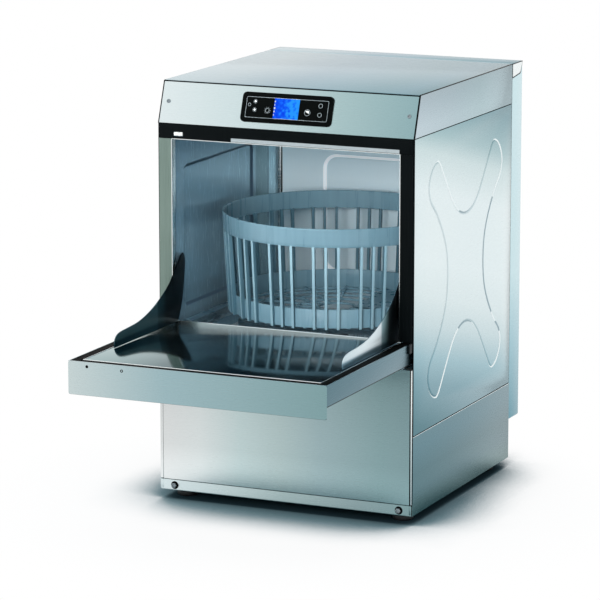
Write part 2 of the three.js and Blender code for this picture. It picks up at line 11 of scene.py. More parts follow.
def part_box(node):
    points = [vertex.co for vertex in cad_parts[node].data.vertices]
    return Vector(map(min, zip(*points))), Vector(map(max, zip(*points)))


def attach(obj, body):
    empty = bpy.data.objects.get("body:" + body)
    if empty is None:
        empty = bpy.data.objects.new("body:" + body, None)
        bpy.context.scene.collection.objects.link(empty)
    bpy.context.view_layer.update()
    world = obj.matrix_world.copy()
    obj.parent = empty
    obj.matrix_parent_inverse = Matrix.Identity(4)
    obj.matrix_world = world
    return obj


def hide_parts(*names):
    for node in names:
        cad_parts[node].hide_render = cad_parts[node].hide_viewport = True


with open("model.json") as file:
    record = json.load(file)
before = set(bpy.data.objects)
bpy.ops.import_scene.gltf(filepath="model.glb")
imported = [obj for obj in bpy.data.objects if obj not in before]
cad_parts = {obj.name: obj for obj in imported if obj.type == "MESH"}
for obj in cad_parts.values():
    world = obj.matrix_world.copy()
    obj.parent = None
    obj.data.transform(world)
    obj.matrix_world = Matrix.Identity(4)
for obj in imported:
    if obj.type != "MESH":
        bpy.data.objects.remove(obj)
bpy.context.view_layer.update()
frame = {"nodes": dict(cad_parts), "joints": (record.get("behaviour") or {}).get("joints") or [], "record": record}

SHEET = 0.0015  # thickness of the steel sheet
PROUD = 0.0002  # how far a trim stands out of the part it lies on
TURNS = 48  # faces round a turned shape
CURVE_STEPS = 3  # points drawn for each point of a smooth line
SIDES = (("left", -1.0), ("right", 1.0))
BODY_OF = {node: body for body, nodes in frame["record"]["behaviour"]["bodies"].items() for node in nodes}
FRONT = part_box("front_panel")[0].y

# ---- camera, light and floor ----

scene = bpy.context.scene
camera = bpy.data.objects.new("camera", bpy.data.cameras.new("camera"))
camera.data.lens = 210.9
camera.data.sensor_width = 36.0
camera.data.clip_end = 60.0
camera.location = (2.188, -4.905, 1.409)
camera.rotation_euler = (math.radians(90 - 11.43), 0.0, math.radians(24.1))
scene.collection.objects.link(camera)
scene.camera = camera
scene.view_settings.view_transform = "Standard"

WHITE = (1.0, 1.0, 1.0)
WASHER_MIDDLE = (0.0, 0.1, 0.35)
# Each soft lamp: its place, the point it looks at, its size, power, tint and spread in degrees.
LAMPS = {
    "top_lamp": ((-0.3, 0.2, 3.0), WASHER_MIDDLE, (3.0, 3.0), 36.0, WHITE, 180.0),
    "left_lamp": ((-3.0, -0.5, 1.5), WASHER_MIDDLE, (1.6, 2.2), 28.0, WHITE, 180.0),
    "right_lamp": ((3.0, 0.6, 1.3), WASHER_MIDDLE, (1.6, 2.2), 26.0, (0.97, 0.99, 1.0), 180.0),
    "front_lamp": ((1.2, -4.0, 2.2), (0.0, 0.2, 0.4), (2.4, 1.6), 60.0, WHITE, 180.0),
    "chamber_lamp": ((0.1, -1.9, 0.75), (0.0, 0.25, 0.42), (0.7, 0.5), 1.9, WHITE, 50.0),
}
for name, (place, aim, size, power, tint, spread) in LAMPS.items():
    data = bpy.data.lights.new(name, "AREA")
    data.shape = "RECTANGLE"
    data.size, data.size_y = size
    data.energy = power
    data.spread = math.radians(spread)
    data.color = tint
    lamp = bpy.data.objects.new(name, data)
    lamp.visible_glossy = False
    lamp.location = place
    lamp.rotation_euler = (Vector(aim) - Vector(place)).to_track_quat("-Z", "Y").to_euler()
    scene.collection.objects.link(lamp)


def feed(tree, made, inputs):
    """Sets a node's inputs; each is a number, a colour or the socket that feeds it."""
    for key, value in inputs.items():
        if isinstance(value, bpy.types.NodeSocket):
            tree.links.new(value, made.inputs[key])
        else:
            made.inputs[key].default_value = value


def add_node(tree, kind, inputs, **settings):
    made = tree.nodes.new("ShaderNode" + kind)
    for key, value in settings.items():
        setattr(made, key, value)
    feed(tree, made, inputs)
    return made


def arithmetic(tree, kind, first, second):
    return add_node(tree, "Math", {0: first, 1: second}, operation=kind).outputs[0]


def tone(red, green, blue):
    """A colour as it is seen, as the light values that shaders take."""
    light = [c / 12.92 if c <= 0.04045 else ((c + 0.055) / 1.055) ** 2.4 for c in (red, green, blue)]
    return (*light, 1.0)


def noise(tree, place, scale, detail, stretch=(1.0, 1.0, 1.0)):
    turn = add_node(tree, "Mapping", {"Vector": place, "Scale": stretch})
    cloud = add_node(tree, "TexNoise", {"Vector": turn.outputs["Vector"], "Scale": scale, "Detail": detail})
    return cloud.outputs["Fac"]


def ramp(tree, value, stops):
    made = add_node(tree, "ValToRGB", {"Fac": value})
    elements = made.color_ramp.elements
    while len(elements) < len(stops):
        elements.new(0.5)
    for element, (place, color) in zip(elements, stops):
        element.position = place
        element.color = color
    return made.outputs["Color"]


def map_range(tree, value, source, target=(0.0, 1.0)):
    limits = dict(zip(("From Min", "From Max", "To Min", "To Max"), (*source, *target)))
    return add_node(tree, "MapRange", {"Value": value, **limits}).outputs["Result"]


def seen_directly(tree):
    """1 for the rays that see the backdrop itself, in a mirror or through glass."""
    path = add_node(tree, "LightPath", {})
    glossy = arithmetic(tree, "MAXIMUM", path.outputs["Is Camera Ray"], path.outputs["Is Glossy Ray"])
    return arithmetic(tree, "MAXIMUM", glossy, path.outputs["Is Transmission Ray"])


def build_world():
    scene.world = bpy.data.worlds.new("studio")
    scene.world.use_nodes = True
    tree = scene.world.node_tree
    room = tree.nodes["Background"]
    feed(tree, room, {"Color": (0.9, 0.96, 1.0, 1.0), "Strength": 0.55})
    white = add_node(tree, "Background", {"Color": (*WHITE, 1.0)})
    choose = add_node(tree, "MixShader", {0: seen_directly(tree), 1: room.outputs[0], 2: white.outputs[0]})
    feed(tree, tree.nodes["World Output"], {"Surface": choose.outputs[0]})


def floor_paint():
    """White where the floor is open; where the washer stands close over it, a real shadow deepened by a painted
    shadow from ambient occlusion.
    """
    made = bpy.data.materials.new("floor_paint")
    made.use_nodes = True
    tree = made.node_tree
    place = add_node(tree, "TexCoord", {}).outputs["Object"]
    shelter = add_node(tree, "AmbientOcclusion", {"Distance": 0.18}, samples=16).outputs["AO"]
    # Painted contact shadow: the floor's colour darkens where ambient occlusion finds the washer close.
    contact_shadow_tones = ramp(tree, shelter, [(0.3, (0.02, 0.04, 0.05, 1.0)), (0.66, (0.17, 0.26, 0.29, 1.0)),
        (0.95, (0.8, 0.82, 0.83, 1.0))])
    shade = tree.nodes["Principled BSDF"]
    feed(tree, shade, {"Base Color": contact_shadow_tones, "Roughness": 1.0, "Specular IOR Level": 0.0})
    glow = add_node(tree, "Emission", {"Color": (*WHITE, 1.0)})
    backward = add_node(tree, "SeparateXYZ", {"Vector": place}).outputs["Y"]
    # The painted shadow is weakened further back along Y, so that it lies mostly in front.
    painted_shadow_lift = map_range(tree, backward, (-0.09, 0.2), (0.0, 0.17))
    open_share = map_range(tree, arithmetic(tree, "ADD", shelter, painted_shadow_lift), (0.68, 0.94))
    distance = add_node(tree, "VectorMath", {0: place}, operation="LENGTH").outputs["Value"]
    far_share = map_range(tree, distance, (0.3, 0.55), (0.9, 1.0))
    lit = arithmetic(tree, "MULTIPLY", open_share, far_share)
    lit = arithmetic(tree, "MULTIPLY", lit, seen_directly(tree))
    fade = add_node(tree, "MixShader", {0: lit, 1: shade.outputs[0], 2: glow.outputs[0]})
    feed(tree, tree.nodes["Material Output"], {"Surface": fade.outputs[0]})
    return made


def build_floor():
    bm = bmesh.new()
    bmesh.ops.create_circle(bm, cap_ends=True, radius=9.0, segments=96)
    mesh = mesh_of("floor", bm)
    mesh.materials.append(floor_paint())
    floor = bpy.data.objects.new("floor", mesh)
    scene.collection.objects.link(floor)


# ---- finishes ----

EVEN_GRAIN = (1.0, 1.0, 1.0)
LEVEL_GRAIN = (0.2, 0.2, 10.0)
UPRIGHT_GRAIN = (10.0, 10.0, 0.2)
TOP_GRAIN = (0.2, 10.0, 10.0)
MOULD_GRAIN = (1.0, 1.0, 0.05)


def finish(name, dark, light, rough, cloud=7.0, grain=EVEN_GRAIN, grain_scale=90.0, bump=0.02, fades=(),
        **sockets):
    """A finish with broad clouds of tone and a fine grain; each fade multiplies painted light and shade into it by
    stops along a direction.
    """
    made = bpy.data.materials.new(name)
    made.use_nodes = True
    tree = made.node_tree
    place = add_node(tree, "TexCoord", {}).outputs["Object"]
    broad = noise(tree, place, cloud, 2.0)
    fine = noise(tree, place, grain_scale, 5.0, grain)
    spread = arithmetic(tree, "ADD", arithmetic(tree, "MULTIPLY", broad, 0.6),
        arithmetic(tree, "MULTIPLY", fine, 0.4))
    color = ramp(tree, spread, [(0.35, tone(*dark)), (0.65, tone(*light))])
    for direction, stops in fades:
        along = add_node(tree, "VectorMath", {0: place, 1: direction},
            operation="DOT_PRODUCT").outputs["Value"]
        low, high = stops[0][0], stops[-1][0]
        shades = [((at - low) / (high - low), (*(share * 3)[:3], 1.0)) for at, *share in stops]
        shading = ramp(tree, map_range(tree, along, (low, high)), shades)
        mix = add_node(tree, "Mix", {0: 1.0}, data_type="RGBA", blend_type="MULTIPLY")
        feed(tree, mix, {6: color, 7: shading})
        color = mix.outputs[2]
    relief = add_node(tree, "Bump", {"Strength": bump, "Distance": 0.001, "Height": fine})
    rough = map_range(tree, fine, (0.3, 0.7), rough)
    own = {key.replace("_", " "): value for key, value in sockets.items()}
    feed(tree, tree.nodes["Principled BSDF"], {"Base Color": color, "Roughness": rough,
        "Normal": relief.outputs["Normal"], **own})
    return made


STEEL_DARK, STEEL_LIGHT = (0.875, 0.925, 0.935), (0.895, 0.94, 0.945)


def steel(name, dark=STEEL_DARK, light=STEEL_LIGHT, grain=LEVEL_GRAIN, fades=(), rough=(0.24, 0.28),
        metal=1.0):
    return finish(name, dark, light, rough, cloud=3.0, grain=grain, grain_scale=140.0, bump=0.004,
        fades=fades, Metallic=metal)


# Painted light, shade and reflection: shares of a sheet's tone by place along a direction, for how light and
# reflections fall across it: red, green and blue, or one share for all three.
ACROSS, BACKWARD, UP, UP_AND_BACK = (1, 0, 0), (0, 1, 0), (0, 0, 1), (0, 0.25, 1)
SIDE_FADE = (UP_AND_BACK, [(0.14, 0.13, 0.26, 0.3), (0.21, 0.25, 0.41, 0.47), (0.25, 0.42, 0.59, 0.65),
    (0.3, 0.74, 0.81, 0.83), (0.345, 0.92, 0.94, 0.94), (0.4, 1.0), (0.51, 1.0), (0.57, 0.79, 0.85, 0.85),
    (0.6, 0.5, 0.63, 0.65), (0.66, 0.19, 0.36, 0.41)])
LOWER_FADE = (UP, [(0.02, 0.17, 0.29, 0.29), (0.05, 0.13, 0.235, 0.265), (0.08, 0.125, 0.225, 0.255),
    (0.12, 0.165, 0.28, 0.325), (0.145, 0.19, 0.3, 0.34)])
FRONT_FADE = (ACROSS, [(-0.2, 1.0), (-0.145, 0.96, 1.0, 1.0), (-0.076, 0.74, 0.875, 0.88),
    (-0.007, 0.61, 0.745, 0.75), (0.06, 0.47, 0.62, 0.65), (0.161, 0.345, 0.51, 0.53),
    (0.203, 0.32, 0.475, 0.5)])
FRONT_RISE = (UP, [(0.034, 1.0), (0.055, 0.93), (0.09, 0.78), (0.13, 0.745), (0.2, 0.675)])
KICK_FADE = (ACROSS, [(-0.21, 0.9, 0.92, 0.92), (-0.12, 0.72, 0.77, 0.77), (0.0, 0.46, 0.54, 0.54),
    (0.12, 0.34, 0.42, 0.43), (0.21, 0.28, 0.39, 0.4)])
LIP_FADE = (ACROSS, [(-0.21, 0.75, 0.77, 0.76), (-0.05, 0.44, 0.56, 0.59), (0.21, 0.28, 0.41, 0.42)])
FASCIA_FADE = (ACROSS, [(-0.215, 0.98, 0.97, 0.97), (-0.09, 0.84, 0.88, 0.88), (0.09, 0.52, 0.64, 0.645),
    (0.215, 0.37, 0.51, 0.53)])
HOOD_FADE = (ACROSS, [(-0.215, 0.71, 0.76, 0.79), (-0.14, 0.64, 0.69, 0.72), (-0.02, 0.42, 0.52, 0.59),
    (0.03, 0.385, 0.51, 0.575), (0.13, 0.295, 0.435, 0.485), (0.18, 0.275, 0.415, 0.48),
    (0.215, 0.235, 0.36, 0.4)])
HOOD_SIDE_FADE = (BACKWARD, [(-0.073, 0.7, 0.74, 0.79), (0.07, 0.6, 0.665, 0.71), (0.2, 0.49, 0.605, 0.64),
    (0.29, 0.5, 0.63, 0.68)])
HOOD_SIDE_RISE = (UP, [(0.615, 1.0), (0.65, 0.83, 0.84, 0.85), (0.664, 0.8)])
SKIRT_FADE = (BACKWARD, [(-0.389, 0.78, 0.8, 0.8), (-0.24, 0.85, 0.88, 0.88), (-0.08, 1.0)])
REAR_RISE = (UP, [(0.08, 0.2, 0.38, 0.45), (0.2, 0.47, 0.65, 0.72), (0.32, 0.78, 0.9, 0.93),
    (0.66, 0.8, 0.92, 0.95)])
LINER_FADE = (ACROSS, [(-0.2, 0.74, 0.86, 0.84), (-0.14, 0.55, 0.68, 0.68), (-0.07, 0.21, 0.31, 0.33),
    (0.2, 0.055, 0.1, 0.12)])
GUARD_ACROSS = (ACROSS, [(-0.19, 0.13, 0.2, 0.2), (0.15, 1.0), (0.19, 1.0)])
GUARD_BACK = (BACKWARD, [(-0.28, 0.8, 0.86, 0.88), (-0.2, 1.0), (-0.137, 1.0), (-0.132, 0.34, 0.47, 0.5),
    (-0.116, 0.17, 0.28, 0.29), (-0.104, 0.03, 0.045, 0.05), (-0.08, 0.01, 0.015, 0.02)])
GUARD_RISE = (UP, [(0.285, 0.2, 0.35, 0.44), (0.2935, 0.3, 0.43, 0.5), (0.2975, 1.0), (0.39, 1.0)])
LEFT_WALL_BACK = (BACKWARD, [(-0.072, 0.5, 0.58, 0.64), (-0.045, 0.62, 0.68, 0.72), (0.236, 0.7, 0.74, 0.76),
    (0.241, 0.44, 0.49, 0.48), (0.285, 0.48, 0.54, 0.54), (0.2868, 0.2, 0.24, 0.25),
    (0.2882, 0.2, 0.24, 0.25), (0.29, 0.95, 1.0, 1.0), (0.332, 1.0)])
LEFT_WALL_RISE = (UP, [(0.42, 1.0), (0.5, 0.86, 0.9, 0.92), (0.56, 0.34, 0.44, 0.5)])
JAMB_EDGE_RISE = (UP, [(0.34, 0.07, 0.08, 0.08), (0.385, 1.0), (0.58, 1.0)])
STRIP_RISE = (UP, [(0.03, 0.5, 0.58, 0.62), (0.1, 0.62, 0.7, 0.72), (0.2, 1.0), (0.25, 1.0)])
# Paler steel tones for edges, strips and caps: a painted highlight.
HIGHLIGHT_TONES = ((0.92, 0.95, 0.95), (0.95, 0.97, 0.97))
SIDE_STEEL = steel("side_steel", fades=(SIDE_FADE,))
# The pressed line's slopes: painted shade, a painted highlight, and painted shade on the inner slopes.
CREASE_SHADE_STEEL = steel("crease_shaded_steel", (0.6, 0.68, 0.71), (0.65, 0.73, 0.76), rough=(0.5, 0.56))
CREASE_HIGHLIGHT_STEEL = steel("crease_lit_steel", (0.92, 0.96, 0.965), (0.94, 0.97, 0.975), rough=(0.5, 0.56))
CREASE_INNER_SHADE_STEEL = steel("crease_inner_shade_steel", (0.8, 0.86, 0.875), (0.83, 0.885, 0.895), rough=(0.5, 0.56),
    fades=(SIDE_FADE,))
# Near-black steel in folds, hems, seams and corners: painted shade.
FOLD_SHADE_STEEL = steel("fold_shaded_steel", (0.035, 0.06, 0.075), (0.05, 0.08, 0.095), rough=(0.4, 0.46))
LOWER_STEEL = steel("lower_side_steel", fades=(LOWER_FADE,))
FRONT_STEEL = steel("front_steel", (0.945, 0.96, 0.96), (0.955, 0.97, 0.97), fades=(FRONT_FADE, FRONT_RISE))
KICK_STEEL = steel("kick_steel", fades=(KICK_FADE,))
HOOD_STEEL = steel("hood_steel", grain=TOP_GRAIN, fades=(HOOD_FADE,))
# The hood's sides in their own copy of the steel, with painted light and shade.
HOOD_SIDE_STEEL = steel("hood_side_steel", fades=(HOOD_SIDE_FADE, HOOD_SIDE_RISE))
FASCIA_STEEL = steel("fascia_steel", fades=(FASCIA_FADE,))
REAR_STEEL = steel("rear_steel", fades=(REAR_RISE,))
# Painted highlight on the corner strip and on edges; the strip is darker towards the floor as painted shade.
STRIP_STEEL = steel("corner_strip_steel", *HIGHLIGHT_TONES, fades=(STRIP_RISE,))
EDGE_HIGHLIGHT_STEEL = steel("edge_steel", *HIGHLIGHT_TONES)
DOOR_STEEL = steel("door_steel", (0.8, 0.86, 0.87), (0.84, 0.89, 0.9), grain=TOP_GRAIN, rough=(0.12, 0.18))
LIP_STEEL = steel("door_lip_steel", fades=(LIP_FADE,))
GUARD_STEEL = steel("splash_guard_steel", (0.86, 0.92, 0.94), (0.89, 0.94, 0.96), grain=TOP_GRAIN,
    rough=(0.3, 0.36), fades=(GUARD_ACROSS, GUARD_BACK, GUARD_RISE))
WALL_STEEL = steel("chamber_wall_steel", (0.86, 0.91, 0.94), (0.89, 0.94, 0.96), grain=UPRIGHT_GRAIN,
    rough=(0.24, 0.3), metal=0.5)
# Left chamber wall: painted reflection of the back wall near the corner, and painted shade towards the front and
# the ceiling.
LEFT_WALL_STEEL = steel("left_wall_steel", (0.8, 0.92, 0.97), (0.84, 0.95, 0.99), grain=UPRIGHT_GRAIN,
    rough=(0.22, 0.28), metal=0.6, fades=(LEFT_WALL_BACK, LEFT_WALL_RISE))
# The left wall's pressed line: painted shade.
LEFT_LINE_SHADE_STEEL = steel("left_wall_line_shade_steel", (0.34, 0.43, 0.5), (0.37, 0.46, 0.53), rough=(0.4, 0.46),
    metal=0.4, fades=(LEFT_WALL_RISE,))
# Painted highlight on the right jamb's edge, darker low down as painted shade.
JAMB_EDGE_STEEL = steel("jamb_edge_steel", *HIGHLIGHT_TONES, fades=(JAMB_EDGE_RISE,))
PART_STEEL = steel("inner_steel", (0.66, 0.72, 0.74), (0.78, 0.82, 0.84), rough=(0.22, 0.34))
BOLT_STEEL = steel("bolt_steel", (0.45, 0.5, 0.52), (0.62, 0.66, 0.68), rough=(0.22, 0.3))
# Painted shade on the right chamber wall's pressed line.
SHADE_STEEL = steel("pressed_edge_steel", (0.52, 0.63, 0.69), (0.58, 0.69, 0.74), rough=(0.3, 0.36),
    metal=0.6)
# A painted highlight with a faint glow, on the back wall's pressed line.
LIT_LINE_STEEL = finish("lit_line_steel", (0.95, 0.97, 0.98), (0.98, 0.99, 1.0), (0.4, 0.5),
    grain=LEVEL_GRAIN, Metallic=0.2, Emission_Strength=0.2, Emission_Color=(0.8, 0.92, 1.0, 1.0))
# Painted shade: the back wall darker towards the ceiling.
BACK_WALL_RISE = (UP, [(0.3, 1.0), (0.46, 1.0), (0.54, 0.62, 0.71, 0.75)])
BACK_WALL_STEEL = steel("back_wall_steel", (0.88, 0.96, 0.99), (0.9, 0.975, 1.0), grain=UPRIGHT_GRAIN,
    rough=(0.3, 0.36), metal=0.25, fades=(BACK_WALL_RISE,))
LINER_STEEL = steel("door_liner_steel", (0.62, 0.7, 0.71), (0.66, 0.74, 0.75), grain=TOP_GRAIN,
    rough=(0.08, 0.13), fades=(LINER_FADE,))
# The door's sides in a darker copy of the steel: painted shade.
SKIRT_SHADE_STEEL = steel("door_skirt_shade_steel", (0.38, 0.51, 0.56), (0.41, 0.54, 0.585), fades=(SKIRT_FADE,))
BACK_STEEL = steel("back_panel_steel", (0.66, 0.75, 0.78), (0.72, 0.8, 0.83))
# The left jamb lighter than the black right jamb: painted reflection.
FRAME_LEFT_REFLECTION = finish("frame_left_painted_reflection", (0.38, 0.45, 0.42), (0.46, 0.53, 0.5), (0.28, 0.36),
    grain=UPRIGHT_GRAIN, bump=0.02, Metallic=0.6)
FRAME_BLACK = finish("frame_black", (0.02, 0.035, 0.04), (0.05, 0.065, 0.07), (0.34, 0.42),
    grain=UPRIGHT_GRAIN, bump=0.02, Specular_IOR_Level=0.03)
HINGE_STEEL = finish("hinge_steel", (0.12, 0.14, 0.15), (0.18, 0.2, 0.21), (0.3, 0.45), Metallic=0.8)
BLACK_PLASTIC = finish("black_plastic", (0.06, 0.065, 0.07), (0.1, 0.105, 0.11), (0.35, 0.5),
    grain_scale=400.0, bump=0.12)
PANEL_BLACK = finish("panel_black", (0.012, 0.02, 0.02), (0.03, 0.04, 0.04), (0.2, 0.26), bump=0.0,
    Specular_IOR_Level=0.03)
# Black for gaskets, washers and hole marks, and for strips set in gaps as painted shadow.
GASKET_AND_GAP_SHADE = finish("gasket_and_gap_shade_black", (0.012, 0.02, 0.022), (0.035, 0.045, 0.05), (0.5, 0.65),
    Specular_IOR_Level=0.02)
RUBBER = finish("seal_rubber", (0.012, 0.018, 0.018), (0.035, 0.04, 0.04), (0.55, 0.7), grain_scale=260.0,
    bump=0.12, Specular_IOR_Level=0.02)
GREY_PLASTIC = finish("grey_plastic", (0.5, 0.53, 0.55), (0.58, 0.61, 0.63), (0.4, 0.52), grain_scale=350.0,
    bump=0.1)
WHITE_PLASTIC = finish("white_plastic", (0.84, 0.86, 0.85), (0.9, 0.91, 0.9), (0.35, 0.45), grain_scale=350.0,
    bump=0.08)
BASKET_PLASTIC = finish("basket_plastic", (0.41, 0.55, 0.61), (0.48, 0.62, 0.68), (0.24, 0.34), cloud=9.0,
    grain=MOULD_GRAIN, bump=0.02)
# Lit and shaded copies of the basket plastic, for the ribs' fronts and sides: painted light and shade.
RIB_LIT_PLASTIC = finish("basket_rib_lit_plastic", (0.54, 0.68, 0.74), (0.6, 0.74, 0.79), (0.24, 0.34), cloud=9.0,
    grain=MOULD_GRAIN, bump=0.02)
RIB_SHADE_PLASTIC = finish("basket_rib_shade_plastic", (0.29, 0.43, 0.49), (0.35, 0.49, 0.55), (0.3, 0.4),
    cloud=9.0, grain=MOULD_GRAIN, bump=0.02)
PRINT_GREY = finish("print_grey", (0.55, 0.6, 0.62), (0.66, 0.7, 0.72), (0.4, 0.5))
PRINT_WHITE = finish("print_white", (0.9, 0.93, 0.93), (0.97, 0.98, 0.98), (0.4, 0.5))
LAMP_GLOW = finish("lamp_glow", (0.95, 0.97, 1.0), (1.0, 1.0, 1.0), (0.3, 0.4), Emission_Strength=0.9,
    Emission_Color=(0.93, 0.97, 1.0, 1.0))
MOTOR_PAINT = finish("motor_paint", (0.24, 0.27, 0.29), (0.32, 0.35, 0.37), (0.4, 0.55), bump=0.1)
BOARD_GREEN = finish("circuit_green", (0.08, 0.28, 0.18), (0.12, 0.36, 0.24), (0.4, 0.5), grain_scale=500.0)
SCREEN_MARK = finish("screen_mark", (0.62, 0.66, 0.55), (0.74, 0.76, 0.62), (0.4, 0.5),
    Emission_Strength=0.15, Emission_Color=(0.86, 0.92, 0.8, 1.0))


def screen_finish():
    """A lit blue display, paler towards its right, with the fine grid of its cells."""
    made = finish("display_blue", (0.0, 0.04, 0.25), (0.01, 0.06, 0.32), (0.1, 0.16), bump=0.0,
        Specular_IOR_Level=0.05)
    tree = made.node_tree
    place = add_node(tree, "TexCoord", {}).outputs["Object"]
    across = add_node(tree, "SeparateXYZ", {"Vector": place}).outputs["X"]
    share = arithmetic(tree, "MULTIPLY", map_range(tree, across, (-0.022, 0.021)), 0.45)
    cells = arithmetic(tree, "MULTIPLY", noise(tree, place, 190.0, 1.0), 0.75)
    blues = [(0.3, tone(0.0, 0.22, 0.86)), (0.55, tone(0.02, 0.36, 0.95)), (0.75, tone(0.14, 0.6, 1.0))]
    glow = ramp(tree, arithmetic(tree, "ADD", share, cells), blues)
    feed(tree, tree.nodes["Principled BSDF"], {"Emission Color": glow, "Emission Strength": 0.95})
    return made


DISPLAY_BLUE = screen_finish()

# ---- making pieces ----


def mesh_of(name, bm):
    made = bpy.data.meshes.new(name)
    bm.to_mesh(made)
    bm.free()
    return made


def round_edges(bm, edges, width, segments=2):
    bmesh.ops.bevel(bm, geom=list(edges), offset=width, offset_type="OFFSET", affect="EDGES",
        segments=segments, profile=0.5, material=-1, clamp_overlap=True)


def sharp_edges(bm, angle=40.0):
    limit = math.radians(angle)
    return [e for e in bm.edges if len(e.link_faces) == 2 and e.calc_face_angle(0.0) > limit]


def tidy(bm):
    bmesh.ops.remove_doubles(bm, verts=bm.verts, dist=1e-6)
    bmesh.ops.recalc_face_normals(bm, faces=bm.faces)


def face_up(bm):
    for face in bm.faces:
        if face.normal.z < 0:
            face.normal_flip()


def piece(name, bm, coat, replaces=(), body="cabinet", smooth=32.0):
    """The finished object of a shape: shaded, coated and riding on its body."""
    mesh = mesh_of(name, bm)
    leftover = mesh.attributes.get("custom_normal")
    if leftover:
        mesh.attributes.remove(leftover)
    for one in coat if isinstance(coat, tuple) else (coat,):
        mesh.materials.append(one)
    mesh.shade_smooth()
    mesh.set_sharp_from_angle(angle=math.radians(smooth))
    made = bpy.data.objects.new(name, mesh)
    scene.collection.objects.link(made)
    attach(made, body)
    if replaces:
        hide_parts(*replaces)


def softened(node, width, coat, segments=2):
    """A copy of a CAD node with its sharp edges rounded, which stands for the node."""
    bm = bmesh.new()
    bm.from_mesh(frame["nodes"][node].data)
    bmesh.ops.remove_doubles(bm, verts=bm.verts, dist=1e-5)
    bmesh.ops.dissolve_limit(bm, angle_limit=math.radians(1), verts=bm.verts, edges=bm.edges)
    round_edges(bm, sharp_edges(bm), width, segments)
    piece(node + "_finished", bm, coat, (node,), body=BODY_OF[node])


def add_block(bm, low, high, round_by=0.0, segments=2):
    """A block between two corners, with its edges rounded."""
    low, high = Vector(low), Vector(high)
    verts = bmesh.ops.create_cube(bm, size=1.0)["verts"]
    bmesh.ops.scale(bm, vec=high - low, verts=verts)
    bmesh.ops.translate(bm, vec=(low + high) / 2, verts=verts)
    if round_by:
        round_edges(bm, {e for v in verts for e in v.link_edges}, round_by, segments)


def side_block(bm, sign, across, back, up, round_by=0.0, segments=2):
    """A block on one side of the middle, between two distances from it."""
    xs = sorted(sign * x for x in across)
    add_block(bm, (xs[0], back[0], up[0]), (xs[1], back[1], up[1]), round_by, segments)


def side_box(node):
    """A side node's lowest and highest corners, and how near to and far from the middle it reaches."""
    low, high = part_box(node)
    return (low, high, *sorted((abs(low.x), abs(high.x))))


def add_turned(bm, profile, place, axis="Z", steps=TURNS):
    """A profile of (radius, height) spun about an axis through a point."""
    verts = [bm.verts.new((radius, 0.0, height)) for radius, height in profile]
    edges = [bm.edges.new(pair) for pair in zip(verts, verts[1:])]
    bmesh.ops.spin(bm, geom=verts + edges, cent=(0, 0, 0), axis=(0, 0, 1), dvec=(0, 0, 0), angle=math.tau,
        steps=steps, use_merge=True, use_duplicate=False)
    made = [v for v in bm.verts if not v.tag]
    turn = Matrix.Rotation(-math.pi / 2, 4, "X") if axis == "Y" else Matrix()
    bmesh.ops.transform(bm, matrix=Matrix.Translation(place) @ turn, verts=made)
    for vert in bm.verts:
        vert.tag = True


def ring_profile(inner, outer, low, high):
    return [(inner, low), (inner, high), (outer, high), (outer, low), (inner, low)]


def add_loop(bm, points):
    verts = [bm.verts.new((a, b, 0.0)) for a, b in points]
    return [bm.edges.new(pair) for pair in zip(verts, verts[1:] + verts[:1])]


def fill(bm, edges, dissolve):
    return bmesh.ops.triangle_fill(bm, use_beauty=True, use_dissolve=dissolve, edges=edges,
        normal=(0, 0, 1))["geom"]


def flat_sheet(bm, thick, *outlines, dissolve=True):
    """A flat sheet between closed outlines."""
    fill(bm, [edge for points in outlines for edge in add_loop(bm, points)], dissolve)
    face_up(bm)
    bmesh.ops.solidify(bm, geom=bm.faces[:], thickness=thick)


def smooth_path(points, closed=True):
    """A curve that runs through points, as more points."""
    curve = [Vector(point) for point in points]
    count = len(curve)
    made = []
    for i in range(count if closed else count - 1):
        near = [(i + k) % count if closed else min(max(i + k, 0), count - 1) for k in (-1, 0, 1, 2)]
        before, start, end, after = (curve[k] for k in near)
        for step in range(CURVE_STEPS):
            t = step / CURVE_STEPS
            made.append(0.5 * (2 * start + (end - before) * t
                + (2 * before - 5 * start + 4 * end - after) * t * t
                + (3 * start - before - 3 * end + after) * t ** 3))
    return made if closed else [*made, curve[-1]]


def rectangle(low, high):
    return [(low[0], low[1]), (high[0], low[1]), (high[0], high[1]), (low[0], high[1])]


def rounded_corners(low, high, radius, steps=6):
    """The outline of a rectangle with round corners, as points."""
    points = []
    centres = rectangle([c + radius for c in low], [c - radius for c in high])
    for (a, b), first in zip(centres[1:] + centres[:1], (-90, 0, 90, 180)):
        for step in range(steps + 1):
            angle = math.radians(first + 90 * step / steps)
            points.append((a + radius * math.cos(angle), b + radius * math.sin(angle)))
    return points


def pressed_sheet(bm, corners, path, steps, matrix):
    """A flat sheet in which a closed path is pressed by steps of (width, depth), then set in place."""
    border = add_loop(bm, corners)
    line = add_loop(bm, path)
    fill(bm, border + line, False)
    inside = [f for f in fill(bm, line, False) if isinstance(f, bmesh.types.BMFace)]
    face_up(bm)
    for width, depth in steps:
        ring = bmesh.ops.inset_region(bm, faces=inside, thickness=width, depth=depth, use_boundary=True,
            use_even_offset=True)
        for face in ring["faces"]:
            face.material_index = 0 if not depth else 1 if depth < 0 else 2
    bmesh.ops.solidify(bm, geom=bm.faces[:], thickness=SHEET)
    bmesh.ops.transform(bm, matrix=matrix, verts=bm.verts)
    bmesh.ops.recalc_face_normals(bm, faces=bm.faces)


